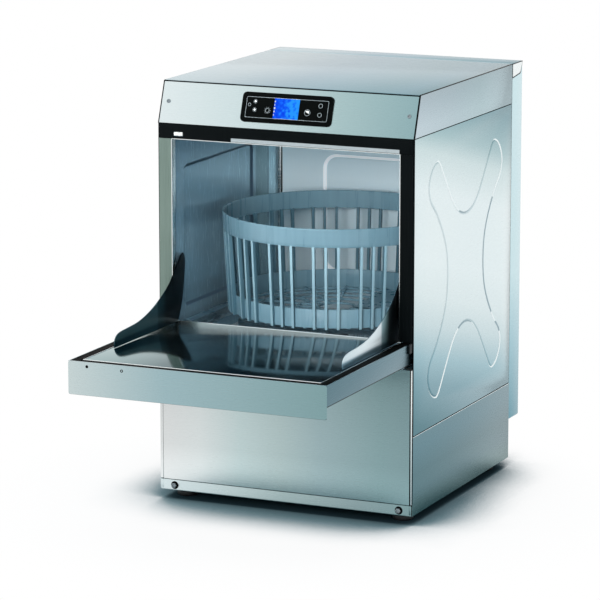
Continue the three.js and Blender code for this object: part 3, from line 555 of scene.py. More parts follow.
def folded_shell(bm, low, high, open_sides, radius, lean=0.0):
    """A box of sheet metal, folded at a radius and open on some sides; lean sets its top front edge back."""
    low, high = Vector(low), Vector(high)
    add_block(bm, low, high)
    gone = [f for f in bm.faces if any(f.normal.dot(Vector(side)) > 0.9 for side in open_sides)]
    if lean:
        front_top = [v for v in bm.verts if v.co.y < (low.y + high.y) / 2 and v.co.z > (low.z + high.z) / 2]
        bmesh.ops.translate(bm, vec=(0, lean, 0), verts=front_top)
    bmesh.ops.delete(bm, geom=gone, context="FACES")
    round_edges(bm, [e for e in bm.edges if len(e.link_faces) == 2], radius, 4)
    bmesh.ops.recalc_face_normals(bm, faces=bm.faces)
    # Rounded fold faces get index 1 and the sides index 2, so that a caller can give the folds painted shade and
    # the sides a finish of their own.
    for face in bm.faces:
        face.material_index = 2 if abs(face.normal.x) > 0.9 else 1 if abs(face.normal.x) > 0.15 else 0
    bmesh.ops.solidify(bm, geom=bm.faces[:], thickness=SHEET)
    bmesh.ops.recalc_face_normals(bm, faces=bm.faces)
    round_edges(bm, sharp_edges(bm, 70.0), 0.0003)


def axes(right, up, out, origin):
    """The place of a flat drawing: where its own right, up and outward axes point."""
    made = Matrix((right, up, out)).transposed().to_4x4()
    made.translation = origin
    return made


def set_at(bm, place):
    """Sets a flat drawing in its place."""
    bmesh.ops.transform(bm, matrix=place, verts=bm.verts)
    tidy(bm)


def side_axes(facing, x):
    """The place of a drawing of the machine's side, which faces left or right."""
    return axes((0, 1, 0), (0, 0, 1), (facing, 0, 0), (x, 0, 0))


def front_axes(y):
    return axes((1, 0, 0), (0, 0, 1), (0, -1, 0), (0, y, 0))


# ---- outer panels ----

# One quarter of the closed line pressed into a side panel, measured from its centre.
X_QUARTER = [(0.0, 0.091), (0.0265, 0.097), (0.05, 0.114), (0.0735, 0.1415), (0.094, 0.1675), (0.1085, 0.184),
    (0.1225, 0.1885), (0.1425, 0.18), (0.156, 0.163), (0.16, 0.144), (0.151, 0.123), (0.1275, 0.1015),
    (0.1005, 0.068), (0.0845, 0.036)]
X_WAIST = (0.08, 0.0)
X_CENTRE = (0.2145, 0.368)
GROOVE = [(0.0026, 0.0), (0.001, -0.0005), (0.0012, -0.0006), (0.0012, 0.0006), (0.001, 0.0005),
    (0.0026, 0.0)]
LOWER_EDGE = 0.0325
LOWER_TOP = 0.2445
REAR_SET_IN = 0.0012
REAR_FOLD = 0.0008


def x_path():
    half = [*X_QUARTER, X_WAIST, *((a, -b) for a, b in reversed(X_QUARTER))]
    other = [(-a, b) for a, b in reversed(half[1:-1])]
    return [(X_CENTRE[0] + FRONT + a, X_CENTRE[1] + b) for a, b in smooth_path([*half, *other])]


def lit_crease(y, z):
    """Whether the pressed line takes a painted highlight here rather than painted shade: at the ends of its lobes
    and along its lower arch.
    """
    a, b = y - X_CENTRE[0] - FRONT, z - X_CENTRE[1]
    waist = abs(b) < 0.095 or (a < -0.12 and 0 < b < 0.165) or (a > 0.13 and 0 > b > -0.13)
    upper_arch = 0.0 < a < 0.115 and b > 0
    return not waist and not upper_arch


def build_side_panels():
    coats = (SIDE_STEEL, CREASE_SHADE_STEEL, CREASE_HIGHLIGHT_STEEL, CREASE_INNER_SHADE_STEEL, FOLD_SHADE_STEEL)
    for side, sign in SIDES:
        low, high, _, far = side_box(f"side_panel_{side}")
        heel, tail, foot = low.y + 0.0016, high.y - 0.0022, low.z + 0.0008
        bm = bmesh.new()
        pressed_sheet(bm, rectangle((heel, foot), (tail, high.z)), x_path(), GROOVE,
            side_axes(sign, sign * far))
        round_edges(bm, sharp_edges(bm, 60.0), 0.0005)
        # Painted highlight and painted shade on the pressed line by place, and painted shade on its inner slopes
        # and on faces that face forwards.
        for face in bm.faces:
            if face.material_index == 1:
                middle = face.calc_center_median()
                face.material_index = 2 if lit_crease(middle.y, middle.z) else 1
            elif face.material_index:
                face.material_index = 3
            elif face.normal.y < -0.3:
                face.material_index = 4
        side_block(bm, sign, (0.2098, far - PROUD), (low.y + 0.007, low.y + 0.0085), (low.z, 0.244), 0.0004)
        # A black strip in the gap at the panel's rear edge: painted shadow.
        gap = bmesh.new()
        side_block(gap, sign, (far - 0.0016, far - 0.0006), (tail - 0.001, high.y - 0.0001),
            (low.z + 0.001, high.z - 0.0006))
        piece(f"side_panel_{side}_rear_gap", gap, GASKET_AND_GAP_SHADE)
        piece(f"side_panel_{side}_pressed", bm, coats, (f"side_panel_{side}",))


def build_lower_panels():
    for side, sign in SIDES:
        low, high, _, far = side_box(f"lower_side_{side}")
        bm = bmesh.new()
        side_block(bm, sign, (far - SHEET, far), (low.y + 0.0016, high.y), (low.z, high.z), 0.0006, 3)
        # The panel's top face takes a painted highlight.
        for face in bm.faces:
            if face.normal.z > 0.2 and face.calc_center_median().z > high.z - 0.001:
                face.material_index = 1
        piece(f"lower_side_{side}_folded", bm, (LOWER_STEEL, CREASE_HIGHLIGHT_STEEL), (f"lower_side_{side}",))
        strip, coat, foot_front = (0.2098, far - PROUD), FRONT_STEEL, 0.0044
        if sign > 0:
            strip, coat, foot_front = (0.2111, 0.2135), STRIP_STEEL, 0.0004
        bm = bmesh.new()
        side_block(bm, sign, strip, (low.y, low.y + 0.003), (LOWER_EDGE, LOWER_TOP), 0.0009, 4)
        piece(f"corner_strip_{side}", bm, coat)
        # Black strips in the gaps beside the corner strip and along the panel's top: painted shadow.
        bm = bmesh.new()
        split = LOWER_EDGE + 0.0005
        side_block(bm, sign, (0.2096, far - 0.0003), (low.y + 0.0012, low.y + 0.006),
            (split, LOWER_TOP - 0.0005))
        side_block(bm, sign, (0.2133, far - 0.0006), (low.y + foot_front, low.y + 0.006),
            (low.z + 0.001, split))
        side_block(bm, sign, (0.212, far - 0.0005), (low.y + 0.003, high.y - 0.001),
            (high.z - 0.0015, high.z + 0.0022))
        piece(f"corner_gap_{side}", bm, GASKET_AND_GAP_SHADE)
    softened("front_panel", 0.0006, FRONT_STEEL, 3)


def build_top_cover():
    low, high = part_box("top_cover")
    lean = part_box("control_fascia")[1].y - low.y
    bm = bmesh.new()
    folded_shell(bm, low + Vector((0, 0, 0.001)), high - Vector((0, 0.0022, 0)),
        [(0, 0, -1), (0, -1, 0), (0, 1, 0)], 0.002, lean)
    # The folds take painted shade, and the sides their own finish with painted light and shade.
    piece("top_cover_folded", bm, (HOOD_STEEL, FOLD_SHADE_STEEL, HOOD_SIDE_STEEL), ("top_cover",))
    # Black strips along the hood's lower and rear edges: painted shadow.
    bm = bmesh.new()
    across = (high.x - 0.0045, high.x - 0.0006)
    for _, sign in SIDES:
        side_block(bm, sign, across, (FRONT + 0.004, high.y - 0.002), (low.z - PROUD, low.z + 0.003))
        side_block(bm, sign, across, (high.y - 0.003, high.y + PROUD), (low.z, high.z - 0.0006))
    piece("hood_seam", bm, GASKET_AND_GAP_SHADE)


def build_rear_cover():
    low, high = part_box("rear_cover")
    bm = bmesh.new()
    folded_shell(bm, low + Vector((REAR_FOLD, 0, 0)), high - Vector((REAR_FOLD, REAR_SET_IN, 0)),
        [(0, -1, 0)], 0.0025)
    # The top face takes the hood's finish and its painted light and shade, not the back's.
    bm.normal_update()
    for face in bm.faces:
        face.material_index = 1 if face.normal.z > 0.7 and face.calc_center_median().z > high.z - 0.003 else 0
    piece("rear_cover_folded", bm, (REAR_STEEL, HOOD_STEEL), ("rear_cover",))
    # A pale cap with a painted highlight, over a dark seam of painted shade.
    front, back, top = low.y + 0.001, high.y, high.z
    cap = [(front, top - 0.0014), (back - 0.004, top - 0.0014), (back - 0.0118, top - 0.0156),
        (back - 0.0145, top - 0.0178), (low.y + 0.006, top - 0.0212), (front, top - 0.0216)]
    seam = [(a + (0.0024 if a > low.y + 0.02 else 0.0), b + (0.001 if b > top - 0.01 else -0.0022)) for a,
        b in cap]
    caps = (("rear_cap", cap, high.x - 0.0001, EDGE_HIGHLIGHT_STEEL),
        ("rear_cap_seam", seam, high.x - 0.0005, FOLD_SHADE_STEEL))
    for name, outline, reach, coat in caps:
        bm = bmesh.new()
        flat_sheet(bm, 2 * reach, outline)
        set_at(bm, side_axes(1.0, reach))
        piece(name, bm, coat)


# ---- control panel ----

press = next(j for j in frame["joints"] if j["name"] == "key_power_press")
SLOPE_OUT = -Vector(press["axis"])
SLOPE_UP = Vector((0.0, SLOPE_OUT.z, -SLOPE_OUT.y))
FASCIA_LOW, FASCIA_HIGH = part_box("control_fascia")
LAP = 0.0004
SLOPE_FOOT = Vector((0.0, FASCIA_LOW.y - LAP * SLOPE_UP.y, FASCIA_LOW.z - LAP * SLOPE_UP.z
    + SHEET * SLOPE_OUT.z))
SLOPE = axes((1, 0, 0), SLOPE_UP, SLOPE_OUT, SLOPE_FOOT)
SLOPE_LENGTH = (FASCIA_HIGH.z - SLOPE_FOOT.z) / SLOPE_UP.z
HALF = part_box("top_cover")[1].x
BEZEL_FACE = 0.0017
PRINT_FACE = BEZEL_FACE + 0.00002
# Each key: how far right and up the slope it lies, and its radius.
KEYS = {"key_power": (-0.063, 0.0375, 0.0032), "key_program": (-0.032, 0.03, 0.0042),
    "key_start": (0.0347, 0.0302, 0.006), "key_up": (0.0555, 0.042, 0.0042),
    "key_down": (0.0555, 0.0278, 0.0042)}


def slope_piece(name, bm, coat, replaces=(), body="cabinet"):
    """A piece that is drawn flat and set on the sloping control panel."""
    set_at(bm, SLOPE)
    piece(name, bm, coat, replaces, body)


def build_fascia():
    edge, top = 0.0021, SLOPE_LENGTH - 0.0022
    bm = bmesh.new()
    flat_sheet(bm, SHEET, rectangle((-HALF + edge, 0.0006), (HALF - edge, top)),
        rectangle((-0.072, 0.015), (0.072, 0.053)))
    set_at(bm, SLOPE)
    round_edges(bm, sharp_edges(bm, 60.0), 0.0005, 3)
    piece("control_fascia_sheet", bm, FASCIA_STEEL, ("control_fascia",))
    # A black border under the fascia's edges: painted shade.
    edge, top = 0.004, SLOPE_LENGTH - 0.0003
    bm = bmesh.new()
    flat_sheet(bm, 0.0012, rectangle((-HALF, 0.0002), (HALF, top)),
        rectangle((-HALF + edge, 0.003), (HALF - edge, top - edge)))
    bmesh.ops.translate(bm, vec=(0, 0, -0.0008), verts=bm.verts)
    slope_piece("fascia_gap_shade", bm, GASKET_AND_GAP_SHADE)


def build_screws():
    for side, sign in SIDES:
        bm = bmesh.new()
        add_turned(bm, [(0.0, 0.0006), (0.0012, 0.0006), (0.0015, 0.0014), (0.0024, 0.0014), (0.0031, 0.0009),
            (0.0034, 0.0), (0.0034, -0.001)], (sign * 0.2015, 0.035, 0.0), steps=24)
        slope_piece(f"fascia_screw_{side}", bm, BOLT_STEEL)


def build_bezel():
    softened("control_bezel", 0.00035, PANEL_BLACK)
    outer = rounded_corners((-0.0685, 0.0176), (0.0685, 0.0502), 0.002)
    inner = rounded_corners((-0.068, 0.0181), (0.068, 0.0497), 0.0015)
    bm = bmesh.new()
    flat_sheet(bm, 0.0003, outer, inner, dissolve=False)
    bmesh.ops.translate(bm, vec=(0, 0, BEZEL_FACE + 0.00012), verts=bm.verts)
    slope_piece("bezel_line", bm, PRINT_GREY)


def build_display():
    low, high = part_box("display_screen")
    bm = bmesh.new()
    add_block(bm, (low.x, 0.018, -0.004), (high.x, 0.05, BEZEL_FACE - 0.0002), 0.0004, 3)
    slope_piece("display_glass", bm, DISPLAY_BLUE, ("display_screen",))
    bm = bmesh.new()
    for row in range(5):
        v = 0.0225 + 0.0052 * row
        add_block(bm, (-0.0214, v, BEZEL_FACE - 0.0004),
            (-0.0203 + 0.0005 * (row % 3), v + 0.0026, BEZEL_FACE), 0.0002, 1)
    slope_piece("display_marks", bm, SCREEN_MARK)


def build_keys():
    for name, (u, v, radius) in KEYS.items():
        bm = bmesh.new()
        add_turned(bm, [(0.0, BEZEL_FACE + 0.0001), (radius - 0.0006, BEZEL_FACE),
            (radius - 0.0002, BEZEL_FACE - 0.0002), (radius, BEZEL_FACE - 0.0006),
            (radius, BEZEL_FACE - 0.003), (0.0, BEZEL_FACE - 0.003)], (u, v, 0.0))
        slope_piece(f"{name}_cap", bm, PANEL_BLACK, (name,), body=BODY_OF[name])
        ring = radius * 0.82
        bm = bmesh.new()
        add_turned(bm, ring_profile(ring - 0.00055, ring, PRINT_FACE, PRINT_FACE + 0.00018), (u, v, 0.0))
        slope_piece(f"{name}_ring", bm, PRINT_GREY, body=BODY_OF[name])


def build_key_marks():
    u, v, radius = KEYS["key_start"]
    bm = bmesh.new()
    bmesh.ops.create_circle(bm, cap_ends=True, radius=radius * 0.52, segments=32)
    whole = bm.verts[:] + bm.edges[:] + bm.faces[:]
    bmesh.ops.bisect_plane(bm, geom=whole, plane_co=(0, 0, 0), plane_no=(0.5, 1.0, 0), clear_inner=True)
    face_up(bm)
    bmesh.ops.solidify(bm, geom=bm.faces[:], thickness=0.0002)
    bmesh.ops.translate(bm, vec=(u, v, PRINT_FACE + 0.0002), verts=bm.verts)
    slope_piece("key_start_half_moon", bm, PRINT_WHITE, body="key_start")

    u, v, radius = KEYS["key_program"]
    dots, half = 10, 0.00035
    bm = bmesh.new()
    for step in range(dots):
        angle = math.tau * step / dots
        a, b = u + radius * 1.2 * math.cos(angle), v + radius * 1.2 * math.sin(angle)
        add_block(bm, (a - half, b - half, PRINT_FACE), (a + half, b + half, PRINT_FACE + 0.0002))
    slope_piece("key_program_dots", bm, PRINT_GREY)


def build_lamps():
    face = BEZEL_FACE
    for name, v in (("upper", 0.043), ("lower", 0.03)):
        place = (-0.0535, v, 0.0)
        bm = bmesh.new()
        add_turned(bm, [(0.0, face + 0.0005), (0.0009, face + 0.0004), (0.0014, face + 0.0001),
            (0.0014, face - 0.0005)], place, steps=24)
        slope_piece(f"lamp_{name}", bm, LAMP_GLOW)
        bm = bmesh.new()
        add_turned(bm, ring_profile(0.0027, 0.0031, PRINT_FACE, face + 0.0002), place)
        slope_piece(f"lamp_{name}_ring", bm, PRINT_GREY)


# ---- door frame and base ----


def build_door_frame():
    for side, sign in SIDES:
        low, high, near, _ = side_box(f"jamb_{side}")
        # The left jamb takes painted reflection; the jamb edges take a painted highlight, the right one with
        # painted shade low down.
        frame_coat, edge_coat = (FRAME_BLACK, JAMB_EDGE_STEEL) if sign > 0 else (FRAME_LEFT_REFLECTION, EDGE_HIGHLIGHT_STEEL)
        bm = bmesh.new()
        add_block(bm, low, high, 0.0004)
        for rib in (near + 0.006, near + 0.012):
            side_block(bm, sign, (rib - 0.0006, rib + 0.0006), (low.y - PROUD, low.y + 0.0004),
                (low.z + 0.002, high.z - 0.002), 0.0003)
        piece(f"jamb_{side}_ribbed", bm, frame_coat, (f"jamb_{side}",))
        bm = bmesh.new()
        side_block(bm, sign, (near - PROUD, near + 0.0012), (low.y - PROUD, low.y + 0.012), (low.z, high.z),
            0.0004)
        piece(f"jamb_{side}_edge", bm, edge_coat)
    softened("lintel", 0.0004, FRAME_BLACK)
    low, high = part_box("lintel")
    front, opening = low.y - PROUD, side_box("jamb_right")[2]
    # A painted highlight along the lintel's lower edge.
    bm = bmesh.new()
    add_block(bm, (-opening, front, low.z - 0.0008), (opening, low.y + 0.01, low.z + 0.0004), 0.0004)
    piece("lintel_edge", bm, EDGE_HIGHLIGHT_STEEL)
    bm = bmesh.new()
    add_block(bm, (-0.09, front, low.z + 0.0006), (0.1905, low.y + 0.002, low.z + 0.0066), 0.0005, 3)
    piece("lintel_strip", bm, PART_STEEL)
    softened("door_catch", 0.0008, WHITE_PLASTIC, 3)


def build_base():
    softened("base_tray", 0.0005, KICK_STEEL)
    low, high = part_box("base_tray")
    bm = bmesh.new()
    for ends in ((-0.2148, -0.2094), (0.2094, 0.2134)):
        add_block(bm, (ends[0], low.y + 0.0001, low.z + 0.0006), (ends[1], low.y + 0.0036, high.z - 0.0002),
            0.0005)
    piece("kick_ends", bm, KICK_STEEL)
    bolt = [(0.0, -0.0036), (0.0018, -0.0036), (0.0024, -0.0046), (0.0034, -0.0046), (0.0044, -0.004),
        (0.0044, -0.0008), (0.0, -0.0008)]
    washer = [(0.0, -0.0005), (0.0062, -0.0005), (0.0065, 0.0), (0.0065, 0.0006)]
    parts = (("bolt", bolt, 6, BOLT_STEEL, "stainless"), ("washer", washer, 32, GASKET_AND_GAP_SHADE, "dark_frame"))
    for side, x in (("left", -0.19), ("right", 0.1925)):
        for part, profile, steps, coat, slot in parts:
            bm = bmesh.new()
            add_turned(bm, profile, (x, low.y, 0.0228), axis="Y", steps=steps)
            tidy(bm)
            piece(f"kick_{part}_{side}", bm, coat)


# ---- door ----

LINER_SET_BACK = 0.0095
SKIRT_DEPTH = 0.0335
LIP_THICK = 0.0013
# The side outline of a splash guard: distance behind the front plane, and height.
GUARD_LINE = [(0.01, 0.2855), (0.026, 0.318), (0.036, 0.37), (0.034, 0.386), (0.026, 0.392), (0.012, 0.381),
    (-0.018, 0.352), (-0.056, 0.3315), (-0.09, 0.319), (-0.126, 0.311), (-0.16, 0.3085), (-0.188, 0.307),
    (-0.201, 0.3035), (-0.208, 0.296), (-0.209, 0.2855)]


def build_door_case():
    low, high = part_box("door_outer_panel")
    bm = bmesh.new()
    folded_shell(bm, (low.x, low.y + 0.0006, high.z - SKIRT_DEPTH), high, [(0, 0, 1)], 0.0022)
    bm.normal_update()
    # Hems take painted shade, and the sides a darker copy of the steel as painted shade.
    for face in bm.faces:
        middle = face.calc_center_median()
        at_side = abs(face.normal.x) > 0.3 and abs(middle.x) > high.x - 0.0012
        at_front = face.normal.y < -0.5 and middle.y < low.y + 0.003
        hem = face.normal.z < -0.15 and abs(face.normal.x) > 0.15
        face.material_index = 3 if hem else 2 if at_side else 1 if at_front else 0
    piece("door_case_folded", bm, (DOOR_STEEL, LIP_STEEL, SKIRT_SHADE_STEEL, FOLD_SHADE_STEEL), ("door_outer_panel",),
        body="door")

    bm = bmesh.new()
    flat_sheet(bm, LIP_THICK, rounded_corners((low.x, low.z), (high.x, high.z - 0.0005), 0.003, 5))
    set_at(bm, front_axes(low.y + 0.0002))
    round_edges(bm, sharp_edges(bm, 60.0), 0.0006, 4)
    bm.normal_update()
    # Faces that face down take painted shade.
    for face in bm.faces:
        face.material_index = 1 if face.normal.z < -0.2 else 0
    piece("door_lip_sheet", bm, (LIP_STEEL, FOLD_SHADE_STEEL), body="door")
    for name, x, drop, inner in (("outer", -0.1785, 0.0068, 0.0), ("inner", -0.1208, 0.0082, 0.0012)):
        bm = bmesh.new()
        add_turned(bm, ring_profile(inner, 0.0023, 0.0, 0.0004), (x, low.y, high.z - drop), axis="Y",
            steps=24)
        tidy(bm)
        piece(f"lip_hole_{name}", bm, GASKET_AND_GAP_SHADE, body="door")


def build_door_liner():
    low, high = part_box("door_inner_panel")
    front, rim = low.y + LINER_SET_BACK, high.z - 0.0008
    bm = bmesh.new()
    add_block(bm, (low.x, front, low.z), high, 0.0006, 3)
    piece("door_inner_panel_folded", bm, LINER_STEEL, ("door_inner_panel",), body="door")
    # A pale rim along the liner's top and sides: painted highlight.
    bm = bmesh.new()
    add_block(bm, (low.x, front - 0.0002, rim), (high.x, front + 0.0022, high.z + 0.0009), 0.0007, 3)
    for side in (low.x, high.x - 0.0012):
        add_block(bm, (side, front, rim), (side + 0.0012, high.y - 0.002, high.z + 0.0006), 0.0004)
    piece("door_liner_rim", bm, EDGE_HIGHLIGHT_STEEL, body="door")
    softened("door_seal", 0.0012, RUBBER, 3)
    bm = bmesh.new()
    add_block(bm, (low.x + 0.0005, low.y - 0.003, low.z), (high.x - 0.0005, front, high.z), 0.0004)
    piece("door_seal_foot", bm, RUBBER, body="door")


def build_splash_guards():
    outline = [(FRONT + a, b) for a, b in smooth_path(GUARD_LINE, closed=False)]
    for side, sign in SIDES:
        low, high, _, far = side_box(f"door_ear_{side}")
        bm = bmesh.new()
        flat_sheet(bm, high.x - low.x, outline)
        set_at(bm, side_axes(sign, sign * far))
        round_edges(bm, sharp_edges(bm, 50.0), 0.0005, 3)
        piece(f"door_ear_{side}_pressed", bm, GUARD_STEEL, (f"door_ear_{side}",),
            body="door")


# ---- chamber ----

FIELD_STEPS = [(0.002, 0.0), (0.0014, -0.0008), (0.002, -0.0016), (0.0014, -0.0008), (0.002, 0.0)]
SIDE_FIELD = rounded_corners((-0.03, 0.3), (0.23, 0.53), 0.014, 8)
BACK_FIELD = rounded_corners((-0.114, 0.3), (0.114, 0.501), 0.026, 8)
HINGE_CLEAR = (FRONT + 0.018, 0.2874)
CORNER_RADIUS = 0.0035
CORNER_STEPS = 8


def build_chamber_walls():
    # The pressed lines take painted shade on the side walls and a painted highlight on the back wall.
    wall_coats = {"left": (LEFT_WALL_STEEL, LEFT_LINE_SHADE_STEEL), "right": (WALL_STEEL, SHADE_STEEL)}
    for side, sign in SIDES:
        low, high, near, _ = side_box(f"chamber_wall_{side}")
        heel, step = HINGE_CLEAR
        corners = [(low.y, step), (heel, step), (heel, low.z), (high.y, low.z), (high.y, high.z),
            (low.y, high.z)]
        bm = bmesh.new()
        pressed_sheet(bm, corners, SIDE_FIELD, FIELD_STEPS, side_axes(-sign, sign * near))
        piece(f"chamber_wall_{side}_pressed", bm, wall_coats[side], (f"chamber_wall_{side}",))
    low, high, _, far = side_box("chamber_wall_back")
    bm = bmesh.new()
    pressed_sheet(bm, rectangle((low.x, low.z), (high.x, high.z)), BACK_FIELD, FIELD_STEPS, front_axes(low.y))
    piece("chamber_wall_back_pressed", bm, (BACK_WALL_STEEL, LIT_LINE_STEEL), ("chamber_wall_back",))
    # A pale corner and a dark line beside it: painted highlight and painted shade.
    for side, sign in SIDES:
        middle = Vector((sign * (far - CORNER_RADIUS), low.y - CORNER_RADIUS, 0.0))
        bm = bmesh.new()
        rail = []
        for step in range(CORNER_STEPS + 1):
            angle = math.radians(90 * step / CORNER_STEPS)
            across, back = sign * CORNER_RADIUS * math.cos(angle), CORNER_RADIUS * math.sin(angle)
            rail.append(bm.verts.new((middle.x + across, middle.y + back, low.z)))
        grown = bmesh.ops.extrude_edge_only(bm, edges=[bm.edges.new(pair) for pair in zip(rail, rail[1:])])
        moved = [v for v in grown["geom"] if isinstance(v, bmesh.types.BMVert)]
        bmesh.ops.translate(bm, vec=(0, 0, high.z - low.z), verts=moved)
        for face in bm.faces:
            if face.normal.dot(middle - face.calc_center_median()) < 0:
                face.normal_flip()
        bmesh.ops.solidify(bm, geom=bm.faces[:], thickness=0.0008)
        piece(f"chamber_corner_{side}", bm, EDGE_HIGHLIGHT_STEEL)
        bm = bmesh.new()
        line = (far - CORNER_RADIUS - 0.0022, far - CORNER_RADIUS)
        side_block(bm, sign, line, (low.y - 0.0006, low.y + 0.0004), (low.z, high.z), 0.0002, 1)
        piece(f"chamber_corner_line_{side}", bm, FOLD_SHADE_STEEL)


def build_tank_parts():
    softened("wash_tank", 0.0005, WALL_STEEL)
    softened("chamber_ceiling", 0.0004, WALL_STEEL)
    for side, _ in SIDES:
        softened(f"basket_rail_{side}", 0.0005, PART_STEEL, 3)
    softened("sump_filter", 0.0004, GREY_PLASTIC)
    softened("standpipe", 0.001, WHITE_PLASTIC, 3)


# Each kind of spray arm: its turn, the rounding of its edges, its nozzles' size and their places along it.
ARMS = {"wash": (0.12, 0.0022, 0.0042, (0.045, 0.08, 0.115, 0.145)),
    "rinse": (-0.2, 0.0014, 0.0024, (0.035, 0.065, 0.095, 0.125, 0.155))}


def build_arms():
    centre = sum(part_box("lower_arm_hub"), Vector()) / 2
    for level, up in (("lower", 1.0), ("upper", -1.0)):
        for kind, (turn, rounding, size, places) in ARMS.items():
            node = f"{level}_{kind}_arm"
            low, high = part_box(node)
            softened(node, rounding, PART_STEEL, 4)
            nozzle = [(0.0, -0.0003 * up), (size * 0.45, -0.0003 * up), (size * 0.6, 0.0009 * up),
                (size * 0.85, 0.0009 * up), (size, 0.0), (size, -0.0006 * up)]
            bm = bmesh.new()
            for along in places:
                for angle in (turn, turn + math.pi):
                    x, y = centre.x + along * math.cos(angle), centre.y + along * math.sin(angle)
                    add_turned(bm, nozzle, (x, y, high.z if up > 0 else low.z), steps=16)
            tidy(bm)
            piece(f"{node}_nozzles", bm, BOLT_STEEL, body=BODY_OF[node])
    for level in ("lower", "upper"):
        softened(f"{level}_arm_hub", 0.001, GREY_PLASTIC, 3)


# ---- basket ----

BASKET_LOW, BASKET_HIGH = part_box("basket")
BASKET_MIDDLE = (BASKET_LOW + BASKET_HIGH) / 2
RIM = (BASKET_HIGH.x - BASKET_LOW.x) / 2
GROUPS = 15
BAND_LOW = 0.131
FOOT_BAND = 0.031


def add_copy(bm, template, angle):
    """Adds a mesh, turned about the basket's axis."""
    first = len(bm.verts)
    bm.from_mesh(template)
    bm.verts.ensure_lookup_table()
    bmesh.ops.rotate(bm, cent=(0, 0, 0), matrix=Matrix.Rotation(angle, 3, "Z"), verts=bm.verts[first:])


def basket_bar():
    """One bar of the basket's floor, from its middle ring out to the foot band."""
    bm = bmesh.new()
    add_block(bm, (0.028, -0.0022, 0.0), (0.168, 0.0022, 0.004), 0.0009)
    return mesh_of("basket_bar", bm)


def basket_rib():
    """One rib of the basket's wall, which leans out from the foot band to the top band."""
    bm = bmesh.new()
    half = 0.0023
    for vert in bmesh.ops.create_cube(bm, size=1.0)["verts"]:
        foot, top = (0.173, RIM - 0.001) if vert.co.x > 0 else (0.166, RIM - 0.0072)
        x, z = (top, BAND_LOW + 0.002) if vert.co.z > 0 else (foot, 0.0)
        vert.co = (x, half if vert.co.y > 0 else -half, z)
    round_edges(bm, bm.edges[:], 0.0006)
    # Fronts take the lit copy of the plastic and sides the shaded copy: painted light and shade.
    bm.normal_update()
    for face in bm.faces:
        face.material_index = 2 if face.normal.x < -0.3 or abs(face.normal.y) > 0.75 else 1
    return mesh_of("basket_rib", bm)


def build_basket():
    height = BASKET_HIGH.z - BASKET_LOW.z
    band = [(0.003, BAND_LOW), (0.0016, BAND_LOW - 0.0006), (0.001, BAND_LOW + 0.0004),
        (0.0006, BAND_LOW + 0.005), (0.0, height - 0.003), (0.0, height - 0.0012), (0.0006, height - 0.0002),
        (0.0014, height), (0.0024, height - 0.0003), (0.003, height - 0.0012), (0.0032, height - 0.003),
        (0.003, BAND_LOW)]
    foot = [(0.1652, 0.002), (0.1656, 0.0014), (0.1674, 0.0014), (0.168, 0.002), (0.1686, FOOT_BAND - 0.0008),
        (0.168, FOOT_BAND), (0.1662, FOOT_BAND), (0.1658, FOOT_BAND - 0.0008), (0.1652, 0.002)]
    ring = [(-0.0018, 0.0008), (-0.001, 0.0), (0.001, 0.0), (0.0018, 0.0008), (0.0018, 0.003),
        (0.001, 0.0038), (-0.001, 0.0038), (-0.0018, 0.003), (-0.0018, 0.0008)]
    bm = bmesh.new()
    add_turned(bm, [(RIM - inward, z) for inward, z in band], (0, 0, 0), steps=120)
    add_turned(bm, foot, (0, 0, 0), steps=120)
    for radius in (0.03, 0.062, 0.094, 0.126, 0.152):
        add_turned(bm, [(radius + out, z) for out, z in ring], (0, 0, 0), steps=96)
    tidy(bm)
    bar, rib = basket_bar(), basket_rib()
    pitch = math.tau / GROUPS
    for group in range(GROUPS):
        add_copy(bm, bar, (group + 0.5) * pitch)
        for step in (-1, 0, 1):
            add_copy(bm, rib, group * pitch + step * pitch * 0.26)
    for template in (bar, rib):
        bpy.data.meshes.remove(template)
    bmesh.ops.translate(bm, vec=(BASKET_MIDDLE.x, BASKET_MIDDLE.y, BASKET_LOW.z), verts=bm.verts)
    piece("basket_moulded", bm, (BASKET_PLASTIC, RIB_LIT_PLASTIC, RIB_SHADE_PLASTIC), ("basket",),
        smooth=40.0, body="basket")


# ---- feet, hinges and rear connections ----


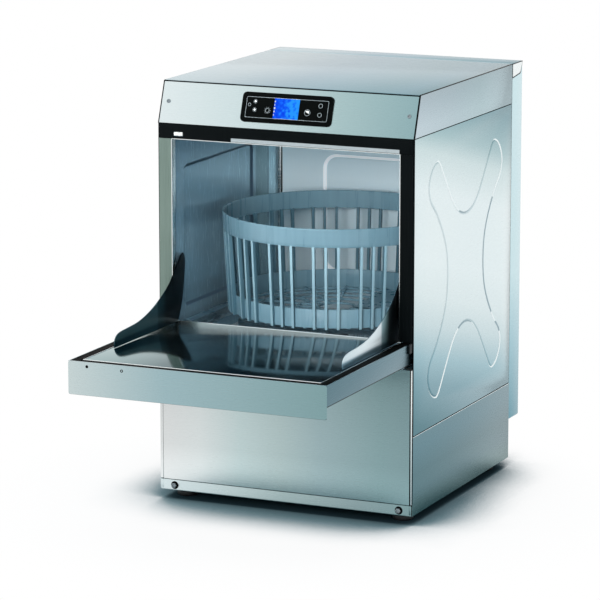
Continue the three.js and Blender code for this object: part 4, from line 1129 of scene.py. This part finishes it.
def build_small_parts():
    for end in ("front", "back"):
        for side, _ in SIDES:
            softened(f"foot_{end}_{side}", 0.001, BLACK_PLASTIC, 3)
    for side, _ in SIDES:
        softened(f"door_hinge_{side}", 0.0005, HINGE_STEEL)
    softened("drain_spigot", 0.0008, GREY_PLASTIC, 3)
    softened("cable_gland", 0.0006, BLACK_PLASTIC, 3)
    softened("inlet_valve", 0.0008, WHITE_PLASTIC, 3)
    softened("back_panel", 0.0004, BACK_STEEL)


def build_rear_screws():
    low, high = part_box("rear_cover")
    screw = [(0.0, -0.0009), (0.0012, -0.0009), (0.0016, -0.0002), (0.003, -0.0004), (0.0038, 0.0006),
        (0.0038, 0.0012)]
    for column, x in (("left", low.x + 0.014), ("right", high.x - 0.014)):
        for row, z in (("low", low.z + 0.02), ("middle", (low.z + high.z) / 2), ("high", high.z - 0.02)):
            bm = bmesh.new()
            add_turned(bm, screw, (0, 0, 0), axis="Y", steps=24)
            bmesh.ops.rotate(bm, cent=(0, 0, 0), matrix=Matrix.Rotation(math.pi, 3, "Z"), verts=bm.verts)
            bmesh.ops.translate(bm, vec=(x, high.y - 0.001, z), verts=bm.verts)
            tidy(bm)
            piece(f"rear_screw_{column}_{row}", bm, BOLT_STEEL)


# The nodes whose shape is right as it is, and what they are made of.
NODE_COATS = {"control_board": BOARD_GREEN, "tank_heater": PART_STEEL, "wash_pump_housing": BLACK_PLASTIC,
    "wash_pump_motor": MOTOR_PAINT, "boiler": PART_STEEL, "drain_pump": BLACK_PLASTIC,
    "detergent_doser": GREY_PLASTIC, "rinse_aid_doser": GREY_PLASTIC, "wash_riser_pipe": GREY_PLASTIC}


def coat_nodes():
    for node, coat in NODE_COATS.items():
        shown = frame["nodes"][node].data
        shown.materials.clear()
        shown.materials.append(coat)


BUILDERS = (build_world, build_floor, build_side_panels, build_lower_panels, build_top_cover,
    build_rear_cover, build_fascia, build_screws, build_bezel, build_display, build_keys, build_key_marks,
    build_lamps, build_door_frame, build_base, build_door_case, build_door_liner, build_splash_guards,
    build_chamber_walls, build_tank_parts, build_arms, build_basket, build_small_parts, build_rear_screws,
    coat_nodes)
for build in BUILDERS:
    build()
